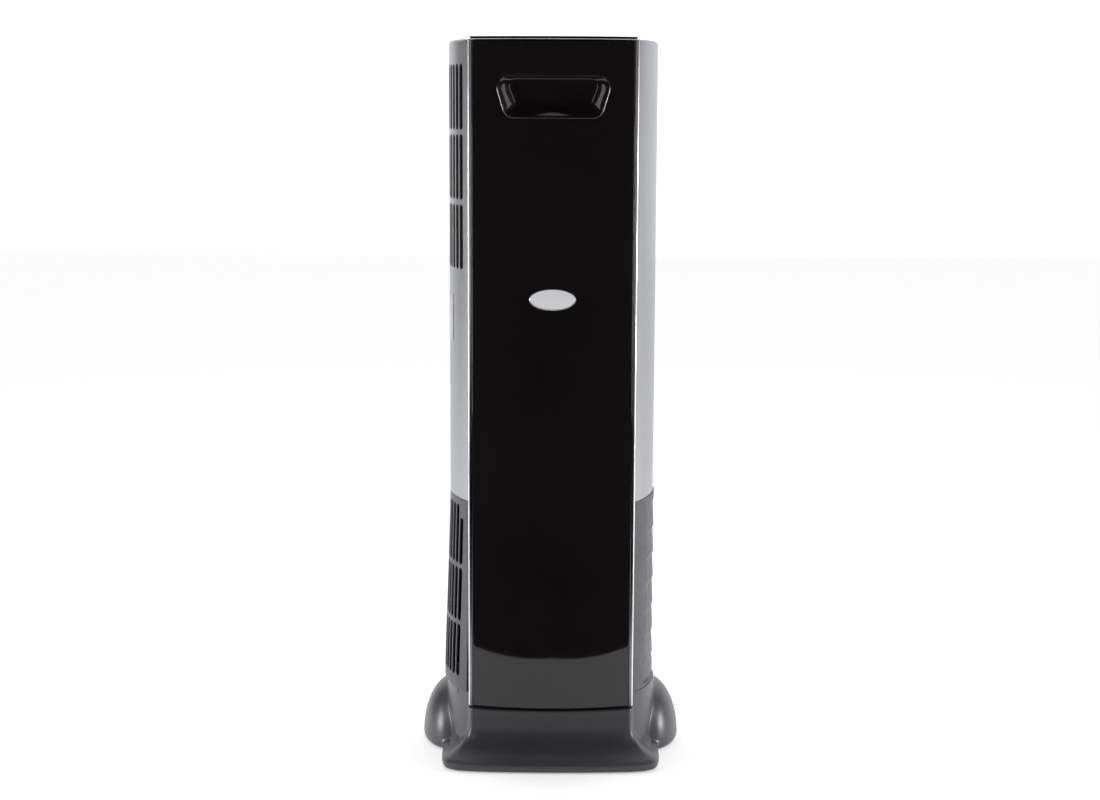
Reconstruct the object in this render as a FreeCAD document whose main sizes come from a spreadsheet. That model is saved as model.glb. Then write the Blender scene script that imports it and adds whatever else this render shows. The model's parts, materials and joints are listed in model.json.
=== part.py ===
import FreeCAD, Part
import math
import os
import re
from FreeCAD import Placement, Rotation, Vector

# Floor-standing air purifier tower. Millimetres, X right, Y back, Z up, origin under the middle of the base.

SIZES = {
    "total_high": 963.4, "wall": 2.5, "gap": 0.4,
    "side_split": 107.5, "front_plane": -96.5, "rear_plane": 125,
    "seam_low": 97, "seam_mid": 359, "side_top": 960.5,
    "body_half": 138.5, "body_deep": 160,
    "right_half": 140.3, "right_deep": 156.3,
    "left_mid_half": 143.6, "left_mid_deep": 150.9, "left_mid_at": 199,
    "left_low_half": 146.8, "left_low_deep": 147, "left_low_at": 112,
    "door_half": 110, "door_low": 80, "door_top": 960.6, "door_curve": 400, "door_face": -115,
    "door_rear": -97, "door_wall": 2.5, "bezel_wide": 5.3, "bezel_thin": 2.4,
    "cup_half": 75, "cup_low": 860, "cup_top": 916.6, "cup_floor": -100.6, "cup_wall": 1.6,
    "badge_half": 30, "badge_tall": 14, "badge_at": 628.5,
    "cap_half": 107, "cap_low": 961.0,
    "ledge_wide": 10, "ledge_thick": 2,
    "slot_wide": 3.58, "slot_pitch": 5, "slot_first": 32.35,
    "base_half": 146.5, "base_front": -144.5, "base_rear": 144.5, "base_low": 3,
    "skirt_top": 77, "collar_half": 143, "collar_deep": 148.7,
    "lobe_x": 135, "lobe_y": 28, "lobe_z": 7, "lobe_wide": 44, "lobe_long": 80, "lobe_tall": 77,
    "base_wall": 3,
    "filter_y": 12, "filter_out": 92, "filter_in": 54, "filter_low": 106, "filter_top": 345,
    "opening_half": 97, "opening_low": 101, "opening_top": 350,
    "fan_y": 10, "deck_low": 353, "deck_thick": 4, "inlet_r": 62, "duct_in": 97, "duct_top": 512,
    "wheel_r": 90, "wheel_low": 382, "wheel_tall": 74, "shaft_r": 4, "bore_play": 0.05,
    "motor_r": 44, "motor_low": 472, "motor_tall": 40,
    "button_r": 8, "button_play": 0.3, "button_y": -60, "button_pitch": 34,
    "foot_r": 13, "screw_r": 1.9, "rail_x": 80,
}

doc = FreeCAD.newDocument("tower")
dims = doc.addObject("Spreadsheet::Sheet", "dims")
for row, (alias, value) in enumerate(SIZES.items(), start=1):
    dims.set(f"A{row}", alias)
    dims.set(f"B{row}", str(value))
    dims.setAlias(f"B{row}", alias)
doc.recompute()

pieces = []


def size(alias):
    """Read one driving size back from the sheet."""
    return float(dims.get(alias))


def linked(formula):
    """Write a formula in sheet names as an expression on the sheet."""
    def reach(word):
        return "dims." + word.group() if word.group() in SIZES else word.group()
    return re.sub(r"[a-z]\w*", reach, str(formula))


def bind(item, **formulas):
    for prop, formula in formulas.items():
        item.setExpression(prop, linked(formula))
    return item


def put(item, x=0, y=0, z=0, turn=None):
    """Place an object, its position bound to the sheet."""
    if turn:
        item.Placement = Placement(Vector(), Rotation(*turn))
    for letter, formula in zip("xyz", (x, y, z)):
        item.setExpression(f"Placement.Base.{letter}", linked(formula))
    return item


def box(name, x0, x1, y0, y1, z0, z1):
    item = doc.addObject("Part::Box", name)
    bind(item, Length=f"({x1}) - ({x0})", Width=f"({y1}) - ({y0})", Height=f"({z1}) - ({z0})")
    return put(item, x0, y0, z0)


AXIS_TURN = {"z": None, "x": (Vector(0, 1, 0), 90), "y": (Vector(1, 0, 0), -90)}


def rod(name, radius, length, x=0, y=0, z=0, axis="z"):
    item = doc.addObject("Part::Cylinder", name)
    bind(item, Radius=radius, Height=length)
    return put(item, x, y, z, AXIS_TURN[axis])


def cone(name, low_r, top_r, height, x=0, y=0, z=0):
    item = doc.addObject("Part::Cone", name)
    bind(item, Radius1=low_r, Radius2=top_r, Height=height)
    return put(item, x, y, z)


def fuse(name, *parts):
    item = doc.addObject("Part::MultiFuse", name)
    item.Shapes = list(parts)
    return item


def common(name, *parts):
    item = doc.addObject("Part::MultiCommon", name)
    item.Shapes = list(parts)
    return item


def cut(name, base, *tools):
    item = doc.addObject("Part::Cut", name)
    item.Base = base
    item.Tool = tools[0] if len(tools) == 1 else fuse(name + "_tools", *tools)
    return item


def ring(name, outer_r, inner_r, length, x=0, y=0, z=0, axis="z"):
    return cut(name, rod(name + "_out", outer_r, length, x, y, z, axis),
               rod(name + "_bore", inner_r, length, x, y, z, axis))


def group(name, parts):
    """Separate equal solids kept in one sub-part."""
    item = doc.addObject("Part::Compound", name)
    item.Links = list(parts)
    return item


def feature(name, shape):
    item = doc.addObject("Part::Feature", name)
    item.Shape = shape
    return item


def keep(node, item):
    """Give a finished sub-part its own name and list it for the hand-in."""
    item.Label = node
    pieces.append(item)
    return item


def oval(name, half_w, half_d, low, top):
    """Upright cylinder with an elliptic plan, deeper than it is wide."""
    curve = doc.addObject("Part::Ellipse", name + "_curve")
    bind(curve, MajorRadius=half_d, MinorRadius=half_w)
    put(curve, 0, 0, low, (Vector(0, 0, 1), 90))
    item = doc.addObject("Part::Extrusion", name)
    item.Base = curve
    item.DirMode = "Custom"
    item.Dir = Vector(0, 0, 1)
    item.Solid = True
    bind(item, LengthFwd=f"({top}) - ({low})")
    return item


def flared_oval(name, inset, low, top):
    """The left side's plan, which widens downwards."""
    levels = [("left_low_half", "left_low_deep", low), ("left_low_half", "left_low_deep", "left_low_at"),
              ("left_mid_half", "left_mid_deep", "left_mid_at"), ("body_half + 0.6", "body_deep - 1.6", 330),
              ("body_half", "body_deep", top)]
    curves = []
    for number, (half_w, half_d, level) in enumerate(levels):
        curve = doc.addObject("Part::Ellipse", f"{name}_curve{number}")
        bind(curve, MajorRadius=f"{half_d} - {inset}", MinorRadius=f"{half_w} - {inset}")
        put(curve, 0, 0, level, (Vector(0, 0, 1), 90))
        curves.append(curve)
    item = doc.addObject("Part::Loft", name)
    item.Sections = curves
    item.Solid = True
    item.Ruled = True
    return item


def side_zone(name, side, low, top):
    """The block that one side panel is cut from."""
    if side < 0:
        return box(name, -170, "-side_split", "front_plane", "rear_plane", low, top)
    return box(name, "side_split", 170, "front_plane", "rear_plane", low, top)


def upper_side(node, side):
    """Upper side shell with its own closed top."""
    outer = common(node + "_outer",
                   oval(node + "_plan", "body_half", "body_deep", "seam_mid + gap", "side_top"),
                   side_zone(node + "_zone", side, "seam_mid + gap", "side_top"))
    inner = oval(node + "_hollow", "body_half - wall", "body_deep - wall", "seam_mid", "side_top - wall")
    lip = box(node + "_lip", -170, 170, "front_plane - 1", "front_plane + wall",
              "side_top - 12", "side_top - wall")
    return cut(node + "_shell", outer, cut(node + "_room", inner, lip))


def slot_prism(turn, low, top, half_w, half_d):
    """Upright slot with round ends, through the left wall between two plan angles."""
    turn_end = turn - size("slot_wide")
    y0 = -half_d * math.sin(math.radians(turn))
    y1 = -half_d * math.sin(math.radians(turn_end))
    round_r = (y1 - y0) / 2
    mid_y = (y0 + y1) / 2
    length = 60
    near_x = half_w * math.cos(math.radians(max(abs(turn), abs(turn_end)))) - 14
    body = Part.makeBox(length, y1 - y0, top - low - 2 * round_r, Vector(0, y0, low + round_r))
    ends = [Part.makeCylinder(round_r, length, Vector(0, mid_y, level), Vector(1, 0, 0))
            for level in (low + round_r, top - round_r)]
    prism = body.fuse(ends)
    prism.translate(Vector(-length - near_x, 0, 0))
    return prism


def slot_cutter(name, rows, columns, first_top, half_w, half_d):
    """All slots of one grille on the left side as one tool."""
    prisms = []
    for low, top in rows:
        for column in range(columns):
            turn = size("slot_first") - column * size("slot_pitch")
            row_top = top if column or not first_top or top < first_top else first_top
            prisms.append(slot_prism(turn, low, row_top, half_w, half_d))
    return feature(name, Part.makeCompound(prisms))


def make_upper_sides():
    cutter = slot_cutter("outlet_slots", [(845, 929.5), (755, 839.5), (664.5, 749)], 8, None,
                         size("body_half"), size("body_deep"))
    keep("left_outlet_grille", cut("outlet_panel", upper_side("upper_left", -1), cutter))
    keep("right_side_cover", upper_side("upper_right", 1))
    plate = box("label_block", -150, -100, -50, 10, 567, 629)
    skin = cut("label_skin", oval("label_out", "body_half + 0.6", "body_deep + 0.6", 560, 640),
               oval("label_in", "body_half + 0.1", "body_deep + 0.1", 560, 640))
    keep("label_plate", common("label_piece", plate, skin))


def make_lower_sides():
    outer = common("intake_outer", flared_oval("intake_plan", 0, "seam_low + gap", "seam_mid"),
                   side_zone("intake_zone", -1, "seam_low + gap", "seam_mid"))
    inner = flared_oval("intake_room", "wall", "seam_low + gap + ledge_thick", "seam_mid + 1")
    opening = oval("intake_opening", "left_low_half - ledge_wide", "left_low_deep - ledge_wide",
                   "seam_low - 1", "seam_low + 5")
    cutter = slot_cutter("intake_slots", [(269, 350), (191, 264), (114, 186)], 8, 333,
                         size("left_mid_half"), size("left_mid_deep"))
    keep("left_intake_grille", cut("intake_panel", outer, inner, opening, cutter))

    outer = common("lower_right_outer",
                   oval("lower_right_plan", "right_half", "right_deep", "seam_low + gap", "seam_mid"),
                   side_zone("lower_right_zone", 1, "seam_low + gap", "seam_mid"))
    inner = oval("lower_right_room", "right_half - wall", "right_deep - wall", "seam_low", "seam_mid + 1")
    grooves = [side_groove(f"wave{number}", 133 + 35.6 * number, 3.2, 0.9) for number in range(6)]
    grooves.append(side_groove("low_slot", 101, 4, 1.6))
    keep("right_lower_panel", cut("lower_right_panel", outer, inner, *grooves))


def side_groove(name, low, high, deep):
    """Level groove along the right side, running back from near its front edge."""
    band = cut(name + "_band",
               oval(name + "_far", "right_half + 2", "right_deep + 2", low, f"{low} + {high}"),
               oval(name + "_near", f"right_half - {deep}", f"right_deep - {deep}", low, f"{low} + {high}"))
    return common(name, band, box(name + "_zone", 115, 160, -66, 88, low, f"{low} + {high}"))


def back_panel(node, low, top):
    """Flat rear panel with corners that follow the plan of the sides."""
    outer = common(node + "_outer", oval(node + "_plan", "body_half", "body_deep", low, top),
                   box(node + "_zone", "-side_split + gap", "side_split - gap", 92, "rear_plane", low, top))
    inner = common(node + "_inner",
                   oval(node + "_hollow", "body_half - wall", "body_deep - wall", f"{low} - 1", f"{top} + 1"),
                   box(node + "_room", -130, 130, 80, "rear_plane - wall", f"{low} - 1", f"{top} + 1"))
    return cut(node + "_shell", outer, inner)


BACK_SCREWS = [(side, level) for side in (-1, 1) for level in (130, 330, 390, 660, 930)]


def back_holes(name, radius, low, top):
    """Screw holes through the back between two levels."""
    return [rod(f"{name}{side}_{level}", radius, 30, f"{side} * rail_x", 100, level, "y")
            for side, level in BACK_SCREWS if low < level < top]


def make_back_panels():
    panel = back_panel("upper_back", "seam_mid + gap", "side_top - wall")
    keep("upper_back_panel",
         cut("upper_back_piece", panel, *back_holes("upper_hole", "screw_r + 0.2", 359, 960)))
    socket = box("socket_hole", -14.6, 14.6, 115, 130, 119.4, 142.6)
    panel = back_panel("lower_back", "seam_low + gap", "seam_mid")
    keep("lower_back_panel",
         cut("lower_back_piece", panel, socket, *back_holes("lower_hole", "screw_r + 0.2", 97, 359)))
    rails = []
    for part, low, top in (("low", "seam_low", "deck_low - gap"),
                           ("high", "deck_low + deck_thick + gap", "side_top - wall")):
        for side in (-1, 1):
            bar = box(f"rail_{part}{side}", f"{side} * rail_x - 5", f"{side} * rail_x + 5", 110,
                      "rear_plane - wall - 0.1", low, top)
            rails.append(cut(f"rail_{part}{side}_piece", bar,
                             *back_holes(f"rail_{part}{side}_hole", "screw_r + 0.05", 0, 1000)))
    keep("rear_rails", group("rail_group", rails))
    screws = [fuse(f"back_screw{side}_{level}",
                   rod(f"back_head{side}_{level}", 3.6, 2,
                       f"{side} * rail_x", "rear_plane + 0.1", level, "y"),
                   rod(f"back_shank{side}_{level}", "screw_r", 12,
                       f"{side} * rail_x", "rear_plane - 11", level, "y"))
              for side, level in BACK_SCREWS]
    keep("housing_screws", group("back_screw_group", screws))


CATCH_SPOTS = [(x, z) for x in (-95, 95) for z in (372, 940)]


def make_front_frame():
    plate = box("frame_plate", "-side_split + gap", "side_split - gap", "front_plane", "front_plane + 3",
                "seam_low + gap", "side_top - 4")
    flanges = [box(f"frame_flange{side}", f"{side} * 105.5 - 1.5", f"{side} * 105.5 + 1.5", "front_plane",
                   "front_plane + 14", "seam_low + gap", "side_top - 4") for side in (-1, 1)]
    opening = box("frame_opening", "-opening_half", "opening_half", -110, -60, "opening_low", "opening_top")
    recesses = [rod(f"frame_pocket{x}_{z}", 8.2, 2, x, "front_plane - 0.5", z, "y") for x, z in CATCH_SPOTS]
    keep("front_frame", cut("frame_piece", fuse("frame_body", plate, *flanges), opening, *recesses))
    catches = [rod(f"catch{x}_{z}", 8, 1.4, x, "front_plane + 0.1", z, "y") for x, z in CATCH_SPOTS]
    keep("steel_catches", group("catch_group", catches))


def door_slab(name, half_w, low, top, curve_r, rear):
    """Slab whose front bulges forwards in plan."""
    block = box(name + "_block", f"-({half_w})", half_w, -125, rear, low, top)
    drum = rod(name + "_drum", curve_r, f"({top}) - ({low})", 0, "door_face + door_curve", low)
    return common(name, block, drum)


def rounded_outline(corners, round_r):
    """Closed wire through the corners of a convex plan, each rounded."""
    starts, middles, ends = [], [], []
    for number, corner in enumerate(corners):
        back = (corners[number - 1] - corner).normalize()
        ahead = (corners[(number + 1) % len(corners)] - corner).normalize()
        half_angle = back.getAngle(ahead) / 2
        reach = round_r / math.tan(half_angle)
        inward = (back + ahead).normalize()
        starts.append(corner + back * reach)
        middles.append(corner + inward * (round_r / math.sin(half_angle) - round_r))
        ends.append(corner + ahead * reach)
    edges = []
    for number in range(len(corners)):
        edges.append(Part.Arc(starts[number], middles[number], ends[number]).toShape())
        edges.append(Part.LineSegment(ends[number], starts[(number + 1) % len(corners)]).toShape())
    return Part.Wire(edges)


def cup_outline(level_y, half_w, low, top, lower_half, round_r):
    """Rounded outline of the finger cup at one depth."""
    corners = [Vector(-lower_half, level_y, low), Vector(lower_half, level_y, low),
               Vector(half_w, level_y, top), Vector(-half_w, level_y, top)]
    return rounded_outline(corners, round_r)


def cup_solid(grow, floor):
    """Tapered block of the finger cup, from its rim to its floor."""
    half_w = size("cup_half") + grow
    low = size("cup_low") - grow
    top = size("cup_top") + grow
    rim = cup_outline(-118, half_w, low, top, 60 + grow, 15 + grow)
    base = cup_outline(floor, half_w - 17, low + 18, top - 6, 44 + grow, 9 + grow)
    return Part.makeLoft([rim, base], True, True)


def make_cover():
    slab = door_slab("door_out", "door_half - gap", "door_low", "door_top", "door_curve", "door_rear")
    room = door_slab("door_in", "door_half - 9", "door_low + 3", "door_top - 3", "door_curve - door_wall",
                     "door_rear + 1")
    cup_hole = feature("cup_hole", cup_solid(0.15, size("cup_floor") + 6))
    bezel_groove = cut("bezel_groove",
                       box("bezel_far", -112, 112, -125, "door_rear - 1.4", "door_low - 1", "door_top + 1"),
                       box("bezel_near", "-door_half + bezel_wide", "door_half - bezel_wide", -126, -90,
                           "door_low - 2", "door_top - bezel_thin"))
    keep("front_cover", cut("door_piece", slab, room, cup_hole, bezel_groove))

    face = door_slab("bezel_face", "door_half", "door_low + 1", "door_top", "door_curve", "door_rear - 1.5")
    window = box("bezel_window", "-door_half + bezel_wide - 0.1", "door_half - bezel_wide + 0.1",
                 -130, -90, 70, "door_top - bezel_thin + 0.1")
    keep("cover_bezel", cut("bezel_piece", face, window))

    drum = rod("cup_drum", "door_curve", 80, 0, "door_face + door_curve", 850)
    cup_outer = feature("cup_block", cup_solid(0, size("cup_floor") + size("cup_wall")))
    cup_inner = feature("cup_room", cup_solid(-size("cup_wall"), size("cup_floor")))
    keep("pull_cup", common("cup_piece", cut("cup_shell", cup_outer, cup_inner), drum))

    keep("badge", oval_badge())
    magnets = [rod(f"magnet{x}_{z}", 5, 2, x, "door_rear - 2.6", z, "y") for x, z in CATCH_SPOTS]
    keep("cover_magnets", group("magnet_group", magnets))


def oval_badge():
    """Low domed oval on the cover's face."""
    curve = doc.addObject("Part::Ellipse", "badge_curve")
    bind(curve, MajorRadius="badge_half", MinorRadius="badge_tall")
    put(curve, 0, "door_face - 1.6", "badge_at", (Vector(1, 0, 0), 90))
    plate = doc.addObject("Part::Extrusion", "badge_plate")
    plate.Base = curve
    plate.DirMode = "Custom"
    plate.Dir = Vector(0, 1, 0)
    plate.Solid = True
    bind(plate, LengthFwd=5)
    dome = door_slab("badge_face", "badge_half + 2", "badge_at - 20", "badge_at + 20",
                     "door_curve + 1.4", -105)
    door = rod("badge_seat", "door_curve", 60, 0, "door_face + door_curve", "badge_at - 30")
    return cut("badge_piece", common("badge_body", plate, dome), door)


BUTTON_PLACES = (-1.5, -0.5, 0.5, 1.5)
BUTTON_NODES = ("button_power", "button_speed", "button_timer", "button_night")


def make_top():
    front = door_slab("cap_front", "cap_half", "cap_low", "total_high", "door_curve - 1.5", -90)
    rear_plan = common("cap_rear",
                       oval("cap_oval", "body_half", "body_deep", "side_top - wall + gap", "total_high"),
                       box("cap_zone", "-cap_half", "cap_half", -96, "rear_plane", "side_top - wall + gap",
                           "total_high"))
    holes = [rod(f"button_hole{place}", "button_r + button_play", 20,
                 f"{place} * button_pitch", "button_y", 950) for place in BUTTON_PLACES]
    hollow = box("cap_hollow", "-cap_half + 3", "cap_half - 3", -88, 100, 950, "total_high - 2.5")
    window = box("display_hole", -30.3, 30.3, -30.3, -5.7, 950, 970)
    keep("top_plate", cut("cap_piece", fuse("cap_body", front, rear_plan), hollow, window, *holes))
    keep("display_window", box("display_pane", -30, 30, -30, -6, "total_high - 2.4", "total_high - 0.3"))
    for place, node in zip(BUTTON_PLACES, BUTTON_NODES):
        stem = rod(f"stem_{node}", 3, 4, f"{place} * button_pitch", "button_y", "total_high - 7.6")
        head = rod(f"head_{node}", "button_r", 4.0, f"{place} * button_pitch", "button_y", "total_high - 4.0")
        flange = rod(f"flange_{node}", "button_r + 1.5", 1.2, f"{place} * button_pitch", "button_y",
                     "total_high - 4.0")
        keep(node, fuse(f"piece_{node}", stem, head, flange))
    board = box("board", -75, 75, -80, 5, "total_high - 14", "total_high - 12.4")
    posts = [rod(f"board_post{x}_{y}", 3, 9.8, x, y, "total_high - 12.3")
             for x in (-68, 68) for y in (-74, -2)]
    keep("control_board", board)
    keep("board_posts", group("post_group", posts))
    switches = [box(f"switch{place}", f"{place} * button_pitch - 3", f"{place} * button_pitch + 3",
                    "button_y - 3", "button_y + 3", "total_high - 12.4", "total_high - 8.6")
                for place in BUTTON_PLACES]
    keep("button_switches", group("switch_group", switches))


def base_outline(level, half_w, front, shoulder, rear, corner):
    """Closed plan of the flared skirt at one level, with curved front and round corners."""
    arc_front = front + shoulder
    points = [Vector(-half_w, arc_front + corner, level), Vector(-half_w + corner, arc_front, level),
              Vector(half_w - corner, arc_front, level), Vector(half_w, arc_front + corner, level),
              Vector(half_w, rear - corner, level), Vector(half_w - corner, rear, level),
              Vector(-half_w + corner, rear, level), Vector(-half_w, rear - corner, level)]
    near = corner * 0.2929
    corners = [Vector(-half_w + near, arc_front + near, level),
               Vector(half_w - near, arc_front + near, level),
               Vector(half_w - near, rear - near, level), Vector(-half_w + near, rear - near, level)]
    edges = [Part.Arc(points[0], corners[0], points[1]).toShape(),
             Part.Arc(points[1], Vector(0, front, level), points[2]).toShape(),
             Part.Arc(points[2], corners[1], points[3]).toShape(),
             Part.LineSegment(points[3], points[4]).toShape(),
             Part.Arc(points[4], corners[2], points[5]).toShape(),
             Part.LineSegment(points[5], points[6]).toShape(),
             Part.Arc(points[6], corners[3], points[7]).toShape(),
             Part.LineSegment(points[7], points[0]).toShape()]
    return Part.Wire(edges)


def skirt_solid(inset):
    """Trumpet-shaped skirt between the collar and the floor."""
    low = size("base_low")
    top = size("skirt_top")
    half = size("base_half") - inset
    front = size("base_front") + inset
    rear = size("base_rear") - inset
    steps = ((0.0, 1.0, 3.0), (0.05, 1.0, 0.6), (0.12, 1.0, 0), (0.2, 0.61, 0), (0.3, 0.3, 0), (0.42, 0.1, 0),
             (0.6, 0.01, 0), (1.0, 0.0, 0))
    sections = []
    for rise, spread, tuck in steps:
        width = 110 - inset + (half - 110 + inset) * spread - tuck
        ahead = -113.5 + inset + (front + 113.5 - inset) * spread + tuck
        behind = 128 - inset + (rear - 128 + inset) * spread - tuck
        corner = 9 + 24 * spread
        sections.append(base_outline(low + (top - low) * rise, width, ahead, 8.5, behind, corner))
    return Part.makeLoft(sections, True, True)


def lobe(name, side, inset):
    """One side bulge of the base: half an ellipsoid on a straight foot."""
    dome = doc.addObject("Part::Ellipsoid", name + "_dome")
    bind(dome, Radius1=f"lobe_tall - {inset}", Radius2=f"lobe_wide - {inset}", Radius3=f"lobe_long - {inset}")
    put(dome, f"{side} * lobe_x", "lobe_y", "lobe_z")
    curve = doc.addObject("Part::Ellipse", name + "_curve")
    bind(curve, MajorRadius=f"lobe_long - {inset}", MinorRadius=f"lobe_wide - {inset}")
    put(curve, f"{side} * lobe_x", "lobe_y", "base_low", (Vector(0, 0, 1), 90))
    foot = doc.addObject("Part::Extrusion", name + "_foot")
    foot.Base = curve
    foot.DirMode = "Custom"
    foot.Dir = Vector(0, 0, 1)
    foot.Solid = True
    bind(foot, LengthFwd="lobe_z - base_low")
    upper = common(name + "_upper", dome, box(name + "_above", -200, 200, -150, 150, "lobe_z", 97))
    return fuse(name, upper, foot)


def make_base():
    neck = common("neck", oval("neck_plan", "collar_half", "collar_deep", "base_low", "seam_low - gap"),
                  box("neck_zone", -150, 150, "front_plane", 129, "base_low", "seam_low - gap"))
    outer = fuse("base_outer", neck, feature("skirt", skirt_solid(0)), lobe("lobe_left", -1, "0"),
                 lobe("lobe_right", 1, "0"))
    neck_room = common("neck_room", oval("neck_hollow", "collar_half - base_wall", "collar_deep - base_wall",
                                         "base_low - 1", "seam_low - gap - 3"),
                       box("neck_inside", -150, 150, "front_plane + base_wall", "129 - base_wall",
                           "base_low - 1", "seam_low - gap - 3"))
    skirt_room = common("skirt_room", feature("skirt_inner", skirt_solid(size("base_wall"))),
                        box("skirt_inside", -160, 160, -150, 150, "base_low - 1", "skirt_top - base_wall"))
    room = fuse("base_room", neck_room, skirt_room, lobe("room_left", -1, "base_wall"),
                lobe("room_right", 1, "base_wall"))
    spots = [(x, y) for x in (-92, 92) for y in (-89, 14, 110)]
    bosses = [rod(f"base_boss{x}_{y}", 5, "seam_low - base_low - 6", x, y, "base_low + 3.1")
              for x, y in spots]
    pilots = [rod(f"base_pilot{x}_{y}", "screw_r + 0.05", 30, x, y, "base_low + 2") for x, y in spots]
    keep("base_shell", cut("base_piece", fuse("base_body", cut("base_skin", outer, room), *bosses), *pilots))
    plate = box("plate_block", -103.5, 103.5, -96, 121, "base_low", "base_low + 3")
    holes = [rod(f"plate_hole{x}_{y}", "screw_r + 0.2", 6, x, y, "base_low - 1") for x, y in spots]
    keep("base_plate", cut("plate_piece", plate, *holes))
    feet = [cut(f"foot{x}_{y}", cone(f"foot_pad{x}_{y}", "foot_r - 2", "foot_r", "base_low", f"{x} * 78",
                                     f"{y} * 80 + 8"),
                rod(f"foot_dimple{x}_{y}", 3, 1, f"{x} * 78", f"{y} * 80 + 8", -0.2))
            for x in (-1, 1) for y in (-1, 1)]
    keep("rubber_feet", group("feet_group", feet))
    screws = [fuse(f"base_screw{x}_{y}", rod(f"base_head{x}_{y}", 3.6, 2, x, y, "base_low - 2.1"),
                   rod(f"base_shank{x}_{y}", "screw_r", 16, x, y, "base_low - 0.2")) for x, y in spots]
    keep("base_screws", group("base_screw_group", screws))


def make_filter():
    low = "filter_low"
    y = "filter_y"
    sleeve_tall = "filter_top - filter_low - 20"
    keep("filter_bottom_cap", ring("bottom_ring", "filter_out", "filter_in - 4", 8, 0, y, low))
    keep("filter_top_cap", ring("top_ring", "filter_out", "filter_in - 4", 8, 0, y, "filter_top - 12"))
    keep("filter_gasket", ring("gasket_ring", "filter_in + 22", "filter_in + 13", 4, 0, y, "filter_top - 4"))
    keep("prefilter_sleeve",
         ring("prefilter_ring", "filter_out - 1", "filter_out - 5", sleeve_tall, 0, y, "filter_low + 8"))
    keep("carbon_sleeve",
         ring("carbon_ring", "filter_in + 4", "filter_in - 2", sleeve_tall, 0, y, "filter_low + 8"))
    keep("hepa_pleats", pleated_ring())
    tab = box("tab_grip", -14, 14, "filter_y - filter_out - 9", "filter_y - filter_out + 3", "filter_low + 1",
              "filter_low + 3.4")
    slot = box("tab_slot", -8, 8, "filter_y - filter_out - 6.5", "filter_y - filter_out - 2.5", "filter_low",
               "filter_low + 5")
    body = rod("tab_seat", "filter_out", 8, 0, y, low)
    keep("filter_pull_tab", cut("tab_piece", tab, slot, body))


def pleated_ring():
    """Zigzag filter paper folded into a ring."""
    outer_r = size("filter_out") - 5.3
    inner_r = size("filter_in") + 4.3
    folds = 48
    thick = 1.6
    points = []
    for offset, order in ((0, 1), (thick, -1)):
        turn_list = range(folds * 2)
        for step in turn_list[::order]:
            angle = math.pi * step / folds
            reach = outer_r if step % 2 == 0 else inner_r + thick
            points.append(Vector((reach - offset) * math.cos(angle), (reach - offset) * math.sin(angle), 0))
    outline = Part.Face(Part.makePolygon(points[:folds * 2] + points[:1]))
    hole = Part.Face(Part.makePolygon(points[folds * 2:] + points[folds * 2:folds * 2 + 1]))
    height = size("filter_top") - size("filter_low") - 20
    item = feature("pleat_ring", outline.cut(hole).extrude(Vector(0, 0, height)))
    return put(item, 0, "filter_y", "filter_low + 8")


def make_tray():
    plate = box("tray_plate", -99, 99, -92, 108, "seam_low + 3.4", "seam_low + 6")
    rails = [box(f"tray_rail{side}", f"{side} * 96.5 - 1.5", f"{side} * 96.5 + 1.5", -92, 108,
                 "seam_low + 5", 114) for side in (-1, 1)]
    legs = [box(f"tray_leg{x}_{y}", f"{x} - 4", f"{x} + 4", f"{y} - 4", f"{y} + 4",
                "seam_low - gap", "seam_low + 4") for x in (-90, 90) for y in (-80, 96)]
    keep("filter_tray", fuse("tray_piece", plate, *rails, *legs))


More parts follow.
